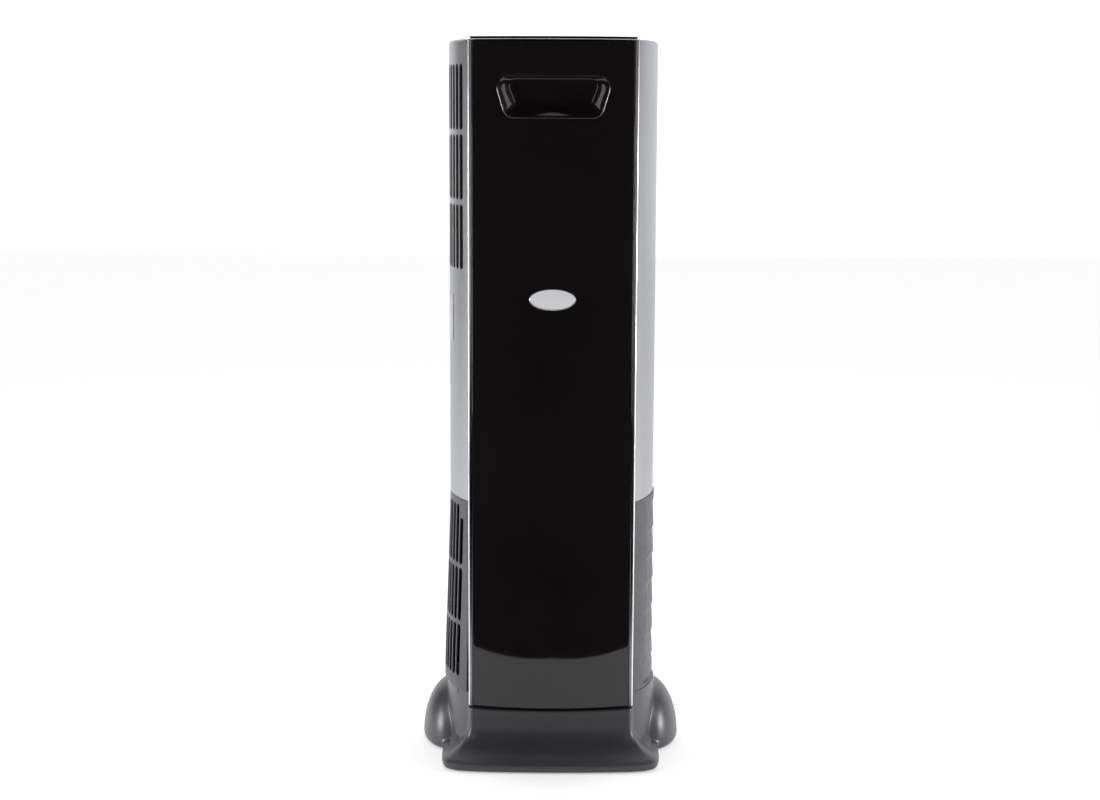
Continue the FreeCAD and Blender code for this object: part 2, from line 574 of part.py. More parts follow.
def make_fan():
    y = "fan_y"
    plan = common("deck_block",
                  oval("deck_plan", "body_half - wall - gap", "body_deep - wall - gap", "deck_low",
                       "deck_low + deck_thick"),
                  box("deck_zone", -140, 140, -82, "rear_plane - wall - gap",
                      "deck_low", "deck_low + deck_thick"))
    deck = cut("deck_plate", plan, rod("deck_hole", "inlet_r + 3", 10, 0, y, "deck_low - 3"),
               rod("loom_hole", 4, 10, 0, 116.5, "deck_low - 3"))
    keep("fan_deck", deck)
    duct_low = "deck_low + deck_thick"
    bell = cut("bell_piece",
               fuse("bell_body", ring("bell_flange", "inlet_r + 14", "inlet_r", 3, 0, y, f"{duct_low} + 0.1"),
                    cone("bell_cone", "inlet_r + 2", "inlet_r - 6", 20, 0, y, f"{duct_low} + 0.1")),
               cone("bell_bore", "inlet_r", "inlet_r - 8", 20.4, 0, y, duct_low))
    keep("inlet_ring", bell)
    wall = ring("duct_wall", "duct_in + 2", "duct_in", f"duct_top - ({duct_low})", 0, y, duct_low)
    ears = [box(f"duct_ear{side}", f"{side} * 104 - 6", f"{side} * 104 + 6", "fan_y - 8", "fan_y + 8",
                duct_low, f"{duct_low} + 3") for side in (-1, 1)]
    keep("fan_duct", fuse("duct_piece", wall, *ears))
    make_wheel()
    hub = ring("bracket_ring", 50, 20, 3, 0, y, "motor_low + motor_tall + 0.2")
    arms = [box(f"bracket_arm{turn}", 40, "duct_in + 2", -6, 6, 0, 3) for turn in range(4)]
    for turn, arm in enumerate(arms):
        angle = 45 + 90 * turn
        reach_x = f"40 * cos({angle}) + 6 * sin({angle})"
        reach_y = f"fan_y + 40 * sin({angle}) - 6 * cos({angle})"
        put(arm, reach_x, reach_y, "motor_low + motor_tall + 0.2", (Vector(0, 0, 1), angle))
    holes = [motor_spot(f"bracket_hole{turn}", turn, "screw_r + 0.2", 8, -1) for turn in range(4)]
    keep("motor_bracket", cut("bracket_piece", fuse("bracket_body", hub, *arms), *holes))
    can = fuse("can_body", rod("can_block", "motor_r", "motor_tall", 0, y, "motor_low"),
               rod("can_boss", 14, 6, 0, y, "motor_low + motor_tall"))
    holes = [motor_spot(f"can_hole{turn}", turn, "screw_r + 0.05", 14, -12) for turn in range(4)]
    keep("motor_can", cut("can_piece", can, rod("can_bore", 11.02, 60, 0, y, "motor_low - 5"), *holes))
    bearings = [ring(f"bearing{level}", 11, "shaft_r + bore_play", 7, 0, y, level)
                for level in ("motor_low + 2", "motor_low + motor_tall - 4")]
    keep("motor_bearings", group("bearing_group", bearings))
    keep("motor_shaft", rod("shaft", "shaft_r", "motor_tall + 70", 0, y, "motor_low - 66"))
    screws = [fuse(f"motor_screw{turn}", motor_spot(f"motor_head{turn}", turn, 3.6, 2, 3.3),
                   motor_spot(f"motor_shank{turn}", turn, "screw_r", 12, -7)) for turn in range(4)]
    keep("motor_screws", group("motor_screw_group", screws))


def motor_spot(name, turn, radius, length, rise):
    """Upright rod on the motor's screw circle, measured from the motor's top."""
    angle = 90 * turn
    return rod(name, radius, length, f"34 * cos({angle})", f"fan_y + 34 * sin({angle})",
               f"motor_low + motor_tall + {rise}")


def make_wheel():
    """Backward-curved wheel: back plate with hub above, open shroud ring below, blades between."""
    y = "fan_y"
    plate = rod("wheel_plate", "wheel_r", 3, 0, y, "wheel_low + wheel_tall - 3")
    hub = rod("wheel_hub", 13, 40, 0, y, "wheel_low + wheel_tall - 42")
    shroud = ring("wheel_shroud", "wheel_r", "inlet_r", 2.5, 0, y, "wheel_low")
    blades = feature("wheel_blades", wheel_blades())
    put(blades, 0, y, "wheel_low")
    bore = rod("wheel_bore", "shaft_r", 90, 0, y, "wheel_low - 5")
    keep("blower_wheel", cut("wheel_piece", fuse("wheel_body", plate, hub, shroud, blades), bore))
    keep("wheel_nut", cut("nut_piece", rod("nut_block", 8, 6, 0, y, "wheel_low + wheel_tall - 48.2"),
                          rod("nut_bore", "shaft_r", 8, 0, y, "wheel_low + wheel_tall - 49")))


def wheel_blades():
    inner_r = size("inlet_r") + 1
    outer_r = size("wheel_r") - 1
    blades = []
    for number in range(9):
        lean = 2 * math.pi * number / 9
        start, middle, end = (
            Vector(reach * math.cos(lean + turn), reach * math.sin(lean + turn), 1)
            for reach, turn in ((inner_r, 0.0), ((inner_r + outer_r) / 2, 0.24), (outer_r, 0.62)))
        blades.append(thick_arc(start, middle, end).extrude(Vector(0, 0, size("wheel_tall") - 2.5)))
    return Part.makeCompound(blades)


def thick_arc(start, middle, end):
    """Flat strip 2 mm wide along an arc."""
    circle = Part.Arc(start, middle, end).toShape().Curve
    centre = circle.Center
    inner = [centre + (point - centre) * (1 - 1 / circle.Radius) for point in (start, middle, end)]
    outer = [centre + (point - centre) * (1 + 1 / circle.Radius) for point in (start, middle, end)]
    edges = [Part.Arc(*inner).toShape(), Part.LineSegment(inner[2], outer[2]).toShape(),
             Part.Arc(*outer[::-1]).toShape(), Part.LineSegment(outer[0], inner[0]).toShape()]
    return Part.Face(Part.Wire(edges))


def make_electrics():
    lean = (Vector(0, 1, 0), -57)
    baffle = put(box("baffle_block", 0, 250, -88, 82, 0, 2), -20, -88, 560, lean)
    room = box("baffle_room", -104, 104, -88, 82, 540, 800)
    keep("air_baffle", common("baffle_piece", baffle, room))
    body = box("inlet_body", -14, 14, 104, 124.8, 120, 142)
    flange = box("inlet_flange", -19, 19, "rear_plane + 0.1", "rear_plane + 2.6", 115, 147)
    slot = box("inlet_slot", -10.5, 10.5, 110, 130, 124.5, 137.5)
    pins = [rod(f"inlet_pin{side}", 1.2, 8, f"{side} * 4.3", 109, 131, "y") for side in (-1, 1)]
    neck = box("inlet_neck", -14, 14, 120, "rear_plane + 1", 120, 142)
    shell = cut("inlet_shell", fuse("inlet_block", body, neck, flange), slot)
    keep("power_inlet", fuse("inlet_piece", shell, *pins))
    board = box("power_card", -60, 60, 100, 101.6, 600, 720)
    parts = [box("card_choke", -40, -14, 86, 100, 620, 650), box("card_cap", 10, 40, 84, 100, 640, 700)]
    keep("power_board", fuse("card_piece", board, *parts))
    posts = [rod(f"card_post{x}_{z}", 3, 20.6, x, 101.7, z, "y") for x in (-54, 54) for z in (606, 714)]
    keep("power_board_posts", group("card_posts", posts))
    keep("door_sensor", box("sensor_body", 84, 102, "front_plane + 3.1", "front_plane + 9", 384, 396))
    bends = ((106, 150), (117, 170), (117, 560), (106, 596))
    path = Part.makePolygon([Vector(0, y, z) for y, z in bends])
    keep("wiring", feature("loom", loom(path)))


def loom(path):
    """Round wire bundle along a bent path."""
    profile = Part.Wire(Part.makeCircle(2.6, path.Vertexes[0].Point, Vector(0, 11, 20)))
    return Part.Wire(path.Edges).makePipeShell([profile], True, False, 2)


def export():
    doc.recompute()
    for item in doc.Objects:
        if "Invalid" in item.State or "Error" in item.State:
            raise RuntimeError(f"{item.Name} is {item.State}")
    for item in pieces:
        if item.Shape.isNull() or not item.Shape.isValid():
            raise RuntimeError(f"{item.Label} has no valid shape")
    os.makedirs("parts", exist_ok=True)
    for item in pieces:
        item.Shape.exportStep(f"parts/{item.Label}.step")
        print(item.Label, len(item.Shape.Solids), round(item.Shape.Volume))


make_upper_sides()
make_lower_sides()
make_back_panels()
make_front_frame()
make_cover()
make_top()
make_base()
make_filter()
make_tray()
make_fan()
make_electrics()
export()
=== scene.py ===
import json
import math

import bmesh
import bpy
import numpy as np
from mathutils import Matrix, Vector
from mathutils.geometry import delaunay_2d_cdt


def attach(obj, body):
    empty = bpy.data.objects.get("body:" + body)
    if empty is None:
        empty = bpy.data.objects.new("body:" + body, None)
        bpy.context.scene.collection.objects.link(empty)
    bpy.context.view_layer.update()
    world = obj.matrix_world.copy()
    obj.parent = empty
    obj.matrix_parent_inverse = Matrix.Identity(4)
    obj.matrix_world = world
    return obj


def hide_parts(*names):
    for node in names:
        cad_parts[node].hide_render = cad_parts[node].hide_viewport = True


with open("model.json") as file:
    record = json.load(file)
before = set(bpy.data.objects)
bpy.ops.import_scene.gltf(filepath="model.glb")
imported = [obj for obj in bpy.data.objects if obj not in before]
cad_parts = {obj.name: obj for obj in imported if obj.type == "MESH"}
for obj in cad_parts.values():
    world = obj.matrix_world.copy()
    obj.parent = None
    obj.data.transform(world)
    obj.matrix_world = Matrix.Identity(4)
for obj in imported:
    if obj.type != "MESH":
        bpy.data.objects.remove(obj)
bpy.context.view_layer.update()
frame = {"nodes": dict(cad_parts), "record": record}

MM = 0.001

# Driving sizes in millimetres, as in the CAD model.
WALL = 2.5
SIDE_SPLIT = 107.5
FRONT_Y = -96.5
REAR_Y = 125.0
SEAM_LOW = 97.4
SEAM_MID = 359.0
SEAM_GAP = 0.4
SIDE_TOP = 960.5
TOTAL_HIGH = 963.4
DOOR_HALF = 110.0
DOOR_LOW = 80.0
DOOR_TOP = 960.6
DOOR_CURVE = 400.0
DOOR_FACE = -115.0
DEG_MM = 2.6  # sheet length for one degree of the housing's oval
UPPER_OVAL = (138.5, 160.0)  # half width and half depth of the silver part
RIGHT_OVAL = (140.3, 156.3)
LEFT_OVAL = (143.6, 150.9)
LEFT_FOOT_OVAL = (146.8, 147.0)
COLLAR_OVAL = (143.0, 148.7)


# ---------------------------------------------------------------- materials

def node(tree, kind, **inputs):
    """Shader node with its inputs set by name."""
    item = tree.nodes.new(kind)
    for name, value in inputs.items():
        item.inputs[name.replace("_", " ")].default_value = value
    return item


def ramp(tree, stops, source):
    """Colour ramp fed by a source."""
    item = tree.nodes.new("ShaderNodeValToRGB")
    while len(item.color_ramp.elements) < len(stops):
        item.color_ramp.elements.new(0.5)
    for element, (place, colour) in zip(item.color_ramp.elements, stops):
        element.position = place
        element.color = (*colour, 1.0)
    tree.links.new(source, item.inputs["Fac"])
    return item.outputs["Color"]


def finish(name, colour, rough, metallic=0.0, spread=0.08, rough_spread=0.06, grain=(900.0, 0.06, 0.0002),
           patch=14.0, coat=0.0, specular=0.5, wear=0.0, stretch=None, sheen=0.0):
    """Procedural finish: mottled colour, uneven roughness, fine grain and lighter worn edges."""
    mat = bpy.data.materials.new(name)
    mat.use_nodes = True
    tree = mat.node_tree
    shader = tree.nodes["Principled BSDF"]
    place = tree.nodes.new("ShaderNodeTexCoord").outputs["Object"]
    if stretch:
        mapping = node(tree, "ShaderNodeMapping", Scale=stretch)
        tree.links.new(place, mapping.inputs["Vector"])
        place = mapping.outputs["Vector"]
    patches = node(tree, "ShaderNodeTexNoise", Scale=patch, Detail=6.0, Roughness=0.6)
    tree.links.new(place, patches.inputs["Vector"])
    dark = tuple(max(0.0, part * (1 - spread)) for part in colour)
    light = tuple(min(1.0, part * (1 + spread)) for part in colour)
    shade = ramp(tree, [(0.3, dark), (0.7, light)], patches.outputs["Fac"])
    if wear:
        edges = tree.nodes.new("ShaderNodeNewGeometry").outputs["Pointiness"]
        worn = tuple(min(1.0, part + (1 - part) * wear) for part in colour)
        mask = ramp(tree, [(0.52, (0, 0, 0)), (0.62, (1, 1, 1))], edges)
        mix = node(tree, "ShaderNodeMix")
        mix.data_type = "RGBA"
        tree.links.new(mask, mix.inputs[0])
        tree.links.new(shade, mix.inputs[6])
        mix.inputs[7].default_value = (*worn, 1.0)
        shade = mix.outputs[2]
    tree.links.new(shade, shader.inputs["Base Color"])
    spots = node(tree, "ShaderNodeTexNoise", Scale=patch * 7, Detail=4.0)
    tree.links.new(place, spots.inputs["Vector"])
    level = node(tree, "ShaderNodeMapRange", From_Min=0.3, From_Max=0.7,
                 To_Min=max(0.02, rough - rough_spread), To_Max=min(1.0, rough + rough_spread))
    tree.links.new(spots.outputs["Fac"], level.inputs["Value"])
    tree.links.new(level.outputs["Result"], shader.inputs["Roughness"])
    scale, strength, height = grain
    if strength:
        fine = node(tree, "ShaderNodeTexNoise", Scale=scale, Detail=3.0)
        tree.links.new(place, fine.inputs["Vector"])
        bump = node(tree, "ShaderNodeBump", Strength=strength, Distance=height)
        tree.links.new(fine.outputs["Fac"], bump.inputs["Height"])
        tree.links.new(bump.outputs["Normal"], shader.inputs["Normal"])
    shader.inputs["Metallic"].default_value = metallic
    shader.inputs["Specular IOR Level"].default_value = specular
    if coat:
        shader.inputs["Coat Weight"].default_value = coat
        shader.inputs["Coat Roughness"].default_value = 0.03
    if sheen:
        shader.inputs["Sheen Weight"].default_value = sheen
    return mat


FINISHES = {
    "silver_shell": finish("silver_paint", (0.345, 0.35, 0.37), 0.36, metallic=0.88, spread=0.03,
                           rough_spread=0.02, grain=(1400.0, 0.02, 0.00005)),
    "charcoal_shell": finish("charcoal_grain", (0.042, 0.041, 0.051), 0.44, spread=0.12,
                             grain=(1100.0, 0.22, 0.0003)),
    "charcoal_base": finish("charcoal_satin", (0.034, 0.034, 0.042), 0.36, specular=0.65, spread=0.08,
                            rough_spread=0.03, grain=(1300.0, 0.06, 0.0001)),
    "gloss_black": finish("espresso_gloss", (0.0075, 0.0058, 0.0062), 0.035, spread=0.25, rough_spread=0.01,
                          grain=(60.0, 0.015, 0.0002), patch=5.0),
    "silver_trim": finish("polished_trim", (0.70, 0.71, 0.73), 0.20, metallic=0.85, spread=0.05,
                          grain=(700.0, 0.015, 0.00005), stretch=(1, 1, 0.05)),
    "satin_trim": finish("satin_trim", (0.20, 0.20, 0.22), 0.20, metallic=1.0, spread=0.06,
                         grain=(700.0, 0.02, 0.00005), stretch=(1, 1, 0.05)),
    "pearl": finish("pearl_lacquer", (0.80, 0.80, 0.83), 0.22, spread=0.03, coat=0.6,
                    grain=(900.0, 0.02, 0.0001)),
    "plate_film": finish("label_film", (0.36, 0.365, 0.39), 0.35, metallic=0.3, spread=0.06),
    "smoked_window": finish("smoked_window", (0.01, 0.01, 0.012), 0.08, spread=0.2, rough_spread=0.02,
                            grain=(60.0, 0.01, 0.0002)),
    "button_key": finish("key_gloss", (0.03, 0.03, 0.034), 0.22, spread=0.15, wear=0.1),
    "inner_plastic": finish("inner_black", (0.022, 0.022, 0.025), 0.55, spread=0.15,
                            grain=(800.0, 0.25, 0.0003)),
    "zinc_steel": finish("zinc_plate", (0.55, 0.55, 0.56), 0.32, metallic=1.0, spread=0.12, wear=0.2,
                         stretch=(1, 1, 6)),
    "foot_rubber": finish("foot_rubber", (0.02, 0.02, 0.02), 0.75, spread=0.2, grain=(500.0, 0.4, 0.0004)),
    "circuit_board": finish("solder_mask", (0.012, 0.10, 0.035), 0.35, spread=0.25, coat=0.3),
    "motor_paint": finish("motor_paint", (0.06, 0.06, 0.065), 0.4, metallic=0.5, spread=0.12, wear=0.2),
    "wheel_plastic": finish("wheel_plastic", (0.03, 0.032, 0.036), 0.45, spread=0.12),
    "filter_cap": finish("filter_cap", (0.035, 0.035, 0.038), 0.5, spread=0.08, grain=(600.0, 0.2, 0.0003)),
    "filter_paper": finish("pleated_paper", (0.78, 0.77, 0.72), 0.85, spread=0.08,
                           grain=(1200.0, 0.6, 0.0004)),
    "mesh_fabric": finish("prefilter_mesh", (0.035, 0.04, 0.05), 0.8, spread=0.3, grain=(700.0, 0.9, 0.0008),
                          sheen=0.3),
    "carbon_cloth": finish("carbon_cloth", (0.012, 0.012, 0.012), 0.9, spread=0.4, grain=(500.0, 1.0, 0.001)),
    "gasket_foam": finish("gasket_foam", (0.02, 0.02, 0.02), 0.85, spread=0.3, grain=(900.0, 0.7, 0.0006)),
    "cable_jacket": finish("cable_jacket", (0.02, 0.02, 0.02), 0.5, spread=0.2),
}

slots = {part["node"]: part["material_slot"] for part in frame["record"]["subparts"]}
for name, item in frame["nodes"].items():
    item.data.materials.clear()
    item.data.materials.append(FINISHES[slots[name]])


# ---------------------------------------------------------------- mesh helpers

def keep(name, mesh, slot, body, replaced=(), lining=None):
    """Put a finished mesh in the scene, on its CAD body. The lining is the finish of its hidden side."""
    item = bpy.data.objects.new(name, mesh)
    bpy.context.scene.collection.objects.link(item)
    sides = [face.material_index for face in mesh.polygons]
    mesh.materials.clear()
    mesh.materials.append(FINISHES[slot])
    if lining:
        mesh.materials.append(FINISHES[lining])
        mesh.polygons.foreach_set("material_index", sides)
    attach(item, body)
    if replaced:
        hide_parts(*replaced)
    return item


def soften(mesh, angle=32.0):
    """Smooth shading with hard edges kept where faces meet steeply."""
    form = bmesh.new()
    form.from_mesh(mesh)
    bmesh.ops.recalc_face_normals(form, faces=form.faces)
    limit = math.radians(angle)
    for face in form.faces:
        face.smooth = True
    for edge in form.edges:
        edge.smooth = len(edge.link_faces) == 2 and edge.calc_face_angle(0.0) < limit
    form.to_mesh(mesh)
    form.free()


def settle(mesh, solid=0.0, bevel=0.0, segments=3, angle=35.0, even=True):
    """Thicken and round a mesh through modifiers, and return the plain result."""
    holder = bpy.data.objects.new("holder", mesh)
    for finish_name in ("silver_shell", "inner_plastic"):
        mesh.materials.append(FINISHES[finish_name])
    bpy.context.scene.collection.objects.link(holder)
    if solid:
        thick = holder.modifiers.new("thick", "SOLIDIFY")
        thick.thickness = solid * MM
        thick.offset = -1.0
        thick.use_even_offset = even
        thick.material_offset = 1
    if bevel:
        rounder = holder.modifiers.new("round", "BEVEL")
        rounder.width = bevel * MM
        rounder.segments = segments
        rounder.limit_method = "ANGLE"
        rounder.angle_limit = math.radians(angle)
        rounder.use_clamp_overlap = True
        weights = holder.modifiers.new("weights", "WEIGHTED_NORMAL")
        weights.mode = "FACE_AREA"
        weights.keep_sharp = False
        for face in mesh.polygons:
            face.use_smooth = True
    graph = bpy.context.evaluated_depsgraph_get()
    graph.update()
    result = bpy.data.meshes.new_from_object(holder.evaluated_get(graph))
    bpy.data.objects.remove(holder)
    if not bevel:
        soften(result)
    return result


def inside(points, loop):
    """Which of the points lie in a closed loop."""
    hit = np.zeros(len(points), bool)
    x, y = points[:, 0], points[:, 1]
    for (x0, y0), (x1, y1) in zip(loop, loop[1:] + loop[:1]):
        if y0 == y1:
            continue
        crosses = (y0 > y) != (y1 > y)
        reach = x0 + (y - y0) * (x1 - x0) / (y1 - y0)
        hit ^= crosses & (x < reach)
    return hit


def divided(loop, step):
    """A closed loop with its long sides divided."""
    points = []
    for start, end in zip(loop, loop[1:] + loop[:1]):
        count = max(1, round(math.dist(start, end) / step))
        for number in range(count):
            share = number / count
            points.append((start[0] + (end[0] - start[0]) * share, start[1] + (end[1] - start[1]) * share))
    return points


def sheet(name, outline, holes, to_space, step=(6.0, 12.0), extra_rows=(), flip=False, support=()):
    """Sheet with holes, laid out flat and then carried onto its surface. Support loops only add edges."""
    loops = [outline, *holes, *support]
    points = [point for loop in loops for point in loop]
    edges = []
    start = 0
    for loop in loops:
        count = len(loop)
        edges += [(start + number, start + (number + 1) % count) for number in range(count)]
        start += count
    low = np.min(outline, axis=0)
    high = np.max(outline, axis=0)
    columns = np.linspace(low[0], high[0], max(2, round((high[0] - low[0]) / step[0])) + 1)
    rows = np.linspace(low[1], high[1], max(2, round((high[1] - low[1]) / step[1])) + 1)
    rows = np.unique(np.round(np.concatenate([rows, np.asarray(extra_rows, float)]), 3))
    grid = np.array([(column, row) for column in columns[1:-1] for row in rows[1:-1]])
    kept = inside(grid, outline)
    for hole in holes:
        kept &= ~inside(grid, hole)
    grid = grid[kept]
    border = np.array(points)
    near = min(step) * 0.3
    far_enough = np.ones(len(grid), bool)
    for chunk in np.array_split(np.arange(len(grid)), max(1, len(grid) // 2000)):
        gap = np.abs(grid[chunk, None, :] - border[None, :, :]).max(axis=2)
        far_enough[chunk] = gap.min(axis=1) > near
    points += [tuple(point) for point in grid[far_enough]]
    verts, _, faces, *_ = delaunay_2d_cdt([Vector(point) for point in points], edges, [], 0, 1e-5)
    flat = np.array([tuple(vert) for vert in verts])
    middles = np.array([flat[list(face)].mean(axis=0) for face in faces])
    kept = inside(middles, outline)
    for hole in holes:
        kept &= ~inside(middles, hole)
    faces = [tuple(face) for face, keep_it in zip(faces, kept) if keep_it]
    if flip:
        faces = [face[::-1] for face in faces]
    mesh = bpy.data.meshes.new(name)
    mesh.from_pydata([[part * MM for part in to_space(u, v)] for u, v in flat], [], faces)
    form = bmesh.new()
    form.from_mesh(mesh)
    bmesh.ops.join_triangles(form, faces=form.faces, angle_face_threshold=0.2, angle_shape_threshold=0.7)
    form.to_mesh(mesh)
    form.free()
    return mesh


def loft(name, rings, cap=(True, True)):
    """Skin over a row of closed rings with equal point counts."""
    count = len(rings[0])
    verts = [[part * MM for part in point] for ring in rings for point in ring]
    faces = []
    for level in range(len(rings) - 1):
        for number in range(count):
            after = (number + 1) % count
            faces.append((level * count + number, level * count + after,
                          (level + 1) * count + after, (level + 1) * count + number))
    if cap[0]:
        faces.append(tuple(range(count))[::-1])
    if cap[1]:
        faces.append(tuple(range((len(rings) - 1) * count, len(rings) * count)))
    mesh = bpy.data.meshes.new(name)
    mesh.from_pydata(verts, [], faces)
    return mesh


def welded(mesh):
    """The same mesh with its doubled points merged."""
    form = bmesh.new()
    form.from_mesh(mesh)
    bmesh.ops.remove_doubles(form, verts=form.verts, dist=1e-6)
    form.to_mesh(mesh)
    form.free()
    return mesh


def joined(name, meshes):
    """Several meshes as one."""
    form = bmesh.new()
    for mesh in meshes:
        form.from_mesh(mesh)
    result = bpy.data.meshes.new(name)
    form.to_mesh(result)
    form.free()
    return result


def slot_loop(u0, u1, low, top):
    """Upright slot with round ends."""
    arc_steps = 8
    reach = (u1 - u0) / 2
    middle = (u0 + u1) / 2
    loop = []
    for centre, start in ((top - reach, 0.0), (low + reach, math.pi)):
        for number in range(arc_steps + 1):
            turn = start + math.pi * number / arc_steps
            loop.append((middle + reach * math.cos(turn), centre + reach * math.sin(turn)))
    return divided(loop, 14.0)


def rounded_loop(corners, radii, arc_steps=8):
    """Closed loop through convex corners, each rounded by its own radius."""
    loop = []
    for number, corner in enumerate(corners):
        here = Vector(corner)
        back = (Vector(corners[number - 1]) - here).normalized()
        ahead = (Vector(corners[(number + 1) % len(corners)]) - here).normalized()
        half = back.angle(ahead) / 2
        radius = radii[number]
        centre = here + (back + ahead).normalized() * (radius / math.sin(half))
        start = here + back * (radius / math.tan(half)) - centre
        end = here + ahead * (radius / math.tan(half)) - centre
        turn = math.atan2(start.x * end.y - start.y * end.x, start.dot(end))
        for step in range(arc_steps + 1):
            angle = turn * step / arc_steps
            cos, sin = math.cos(angle), math.sin(angle)
            loop.append((centre.x + start.x * cos - start.y * sin, centre.y + start.x * sin + start.y * cos))
    return loop


def smooth_step(low, high, value):
    """Ease from 0 at low to 1 at high."""
    share = min(1.0, max(0.0, (value - low) / (high - low)))
    return share * share * (3 - 2 * share)


# ---------------------------------------------------------------- housing sides

def plan(side, turn, oval, inset=0.0):
    """Point of the housing's plan at one angle, 0 at the widest point and positive towards the front."""
    half_w, half_d = oval
    angle = math.radians(turn)
    return side * (half_w - inset) * math.cos(angle), -(half_d - inset) * math.sin(angle)


def side_limits(oval):
    """Angles of a side's front and rear edges."""
    half_w, half_d = oval
    front = math.degrees(math.asin(-FRONT_Y / half_d))
    rear = math.degrees(math.acos(SIDE_SPLIT / half_w))
    return front, -rear


def level_value(level, stops):
    """Value at one level between stops of level and value."""
    heights, values = zip(*stops)
    return float(np.interp(level, heights, values))


TOP_ROUND = 5.0
BEND_LEVEL = SIDE_TOP - TOP_ROUND
ARC_PART = 1.5  # the shoulder's arc takes this many TOP_ROUND of the layout, the flat top as many again
SQUEEZE_FROM = 900.0


def upper_point(side):
    """Carry the flat layout onto the upper side, over its rounded shoulder and onto its top."""
    def to_space(u, v):
        turn = u / DEG_MM
        x, y = plan(side, turn, UPPER_OVAL)
        room = max(0.5, abs(x) - SIDE_SPLIT)
        radius = min(TOP_ROUND, room * 0.9)
        if v <= BEND_LEVEL:
            return x, y, v * (SIDE_TOP - radius) / BEND_LEVEL if v > SQUEEZE_FROM else v
        over = (v - BEND_LEVEL) / TOP_ROUND
        if over <= ARC_PART:
            angle = over / ARC_PART * math.pi / 2
            back = radius * (1 - math.cos(angle))
            return x - side * back, y, SIDE_TOP - radius + radius * math.sin(angle)
        share = min(1.0, (over - ARC_PART) / ARC_PART)
        edge = x - side * radius
        return edge + (side * SIDE_SPLIT - edge) * share, y, SIDE_TOP
    return to_space


SLOT_COLUMNS = 8
SLOT_FRONT_TURN = 32.35
SLOT_PITCH_TURN = 5.0
SLOT_WIDE_TURN = 3.58
OUTLET_ROWS = [(845, 929.5), (755, 839.5), (664.5, 749)]
INTAKE_ROWS = [(269, 350), (191, 264), (114, 186)]
INTAKE_FIRST_TOP = 333


def grille_holes(rows, first_top=None):
    """Columns of upright slots. The column nearest the front may end lower."""
    holes = []
    for column in range(SLOT_COLUMNS):
        turn = SLOT_FRONT_TURN - SLOT_PITCH_TURN * column
        for low, top in rows:
            if column == 0 and first_top and top > first_top:
                top = first_top
            holes.append(slot_loop((turn - SLOT_WIDE_TURN) * DEG_MM, turn * DEG_MM, low, top))
    return holes


def box_loop(u0, u1, low, top, step):
    """Upright rectangle with divided sides."""
    return divided([(u0, low), (u1, low), (u1, top), (u0, top)], step)


def side_outline(oval, low, top):
    front, rear = side_limits(oval)
    return box_loop(rear * DEG_MM, front * DEG_MM, low, top, 8.0)


bend_rows = [BEND_LEVEL + TOP_ROUND * ARC_PART * share for share in (0, 0.2, 0.4, 0.6, 0.8, 1.0)]
outline = side_outline(UPPER_OVAL, SEAM_MID + SEAM_GAP, BEND_LEVEL + TOP_ROUND * ARC_PART * 2)
for side, name, holes in ((-1, "left_outlet_grille", grille_holes(OUTLET_ROWS)),
                          (1, "right_side_cover", [])):
    mesh = sheet(name + "_skin", outline, holes, upper_point(side),
                 step=(5.2, 10.0), extra_rows=bend_rows, flip=side > 0)
    mesh = settle(mesh, solid=WALL, bevel=0.7, segments=2, even=False)
    keep(name + "_skin", mesh, "silver_shell", "housing", [name], "inner_plastic")

# Half width and half depth of the flared lower left side, by level.
LEFT_HALF = [(97, 146.8), (112, 146.8), (155, 145.5), (199, 143.6), (265, 141.3), (330, 139.1), (359, 138.5)]
LEFT_DEEP = [(97, 147.0), (112, 147.0), (199, 150.9), (330, 158.4), (359, 160.0)]
INTAKE_REAR = side_limits(LEFT_OVAL)[1]
REAR_EDGE_Y = 100.9


def intake_point(u, v):
    """Flared lower left side, whose rear edge meets the back panel at every height."""
    turn = u / DEG_MM
    half_w = level_value(v, LEFT_HALF)
    half_d = level_value(v, LEFT_DEEP)
    if turn < 0:
        share = turn / INTAKE_REAR
        rear = math.acos(SIDE_SPLIT / half_w)
        turn = -math.degrees(rear) * share
        half_d += (REAR_EDGE_Y / math.sin(rear) - half_d) * share ** 2
    x, y = plan(-1, turn, (half_w, half_d))
    return x, max(y, FRONT_Y), v


mesh = sheet("left_intake_grille_skin", side_outline(LEFT_OVAL, SEAM_LOW, SEAM_MID),
             grille_holes(INTAKE_ROWS, INTAKE_FIRST_TOP), intake_point, step=(5.2, 8.0))
mesh = settle(mesh, solid=WALL, bevel=0.7, segments=2)
keep("left_intake_grille_skin", mesh, "charcoal_shell", "housing", ["left_intake_grille"], "inner_plastic")

# Turned-in foot of the lower left side, which closes it over the base: inset and level of its section.
LEDGE_SECTION = ((1.5, 97.6), (9.5, 97.6), (9.5, 99.4), (1.5, 99.4))
ledge = []
for turn in np.linspace(-42.0, 36.0, 60):
    ring = []
    for inset, level in LEDGE_SECTION:
        x, y = plan(-1, turn, LEFT_FOOT_OVAL, inset)
        ring.append((min(x, -SIDE_SPLIT), max(y, FRONT_Y + 1), level))
    ledge.append(ring)
mesh = loft("left_intake_grille_ledge", ledge)
soften(mesh)
keep("left_intake_grille_ledge", mesh, "charcoal_shell", "housing")

WAVES = 6
WAVE_PITCH = 35.6
WAVE_FIRST = 133.0
WAVE_DEEP = 1.5
WAVE_FALL = 0.9  # share of the pitch over which a wave gets deeper, before it springs back
LOW_SLOT = (101.2, 106.0)
LOW_SLOT_DEEP = 1.8


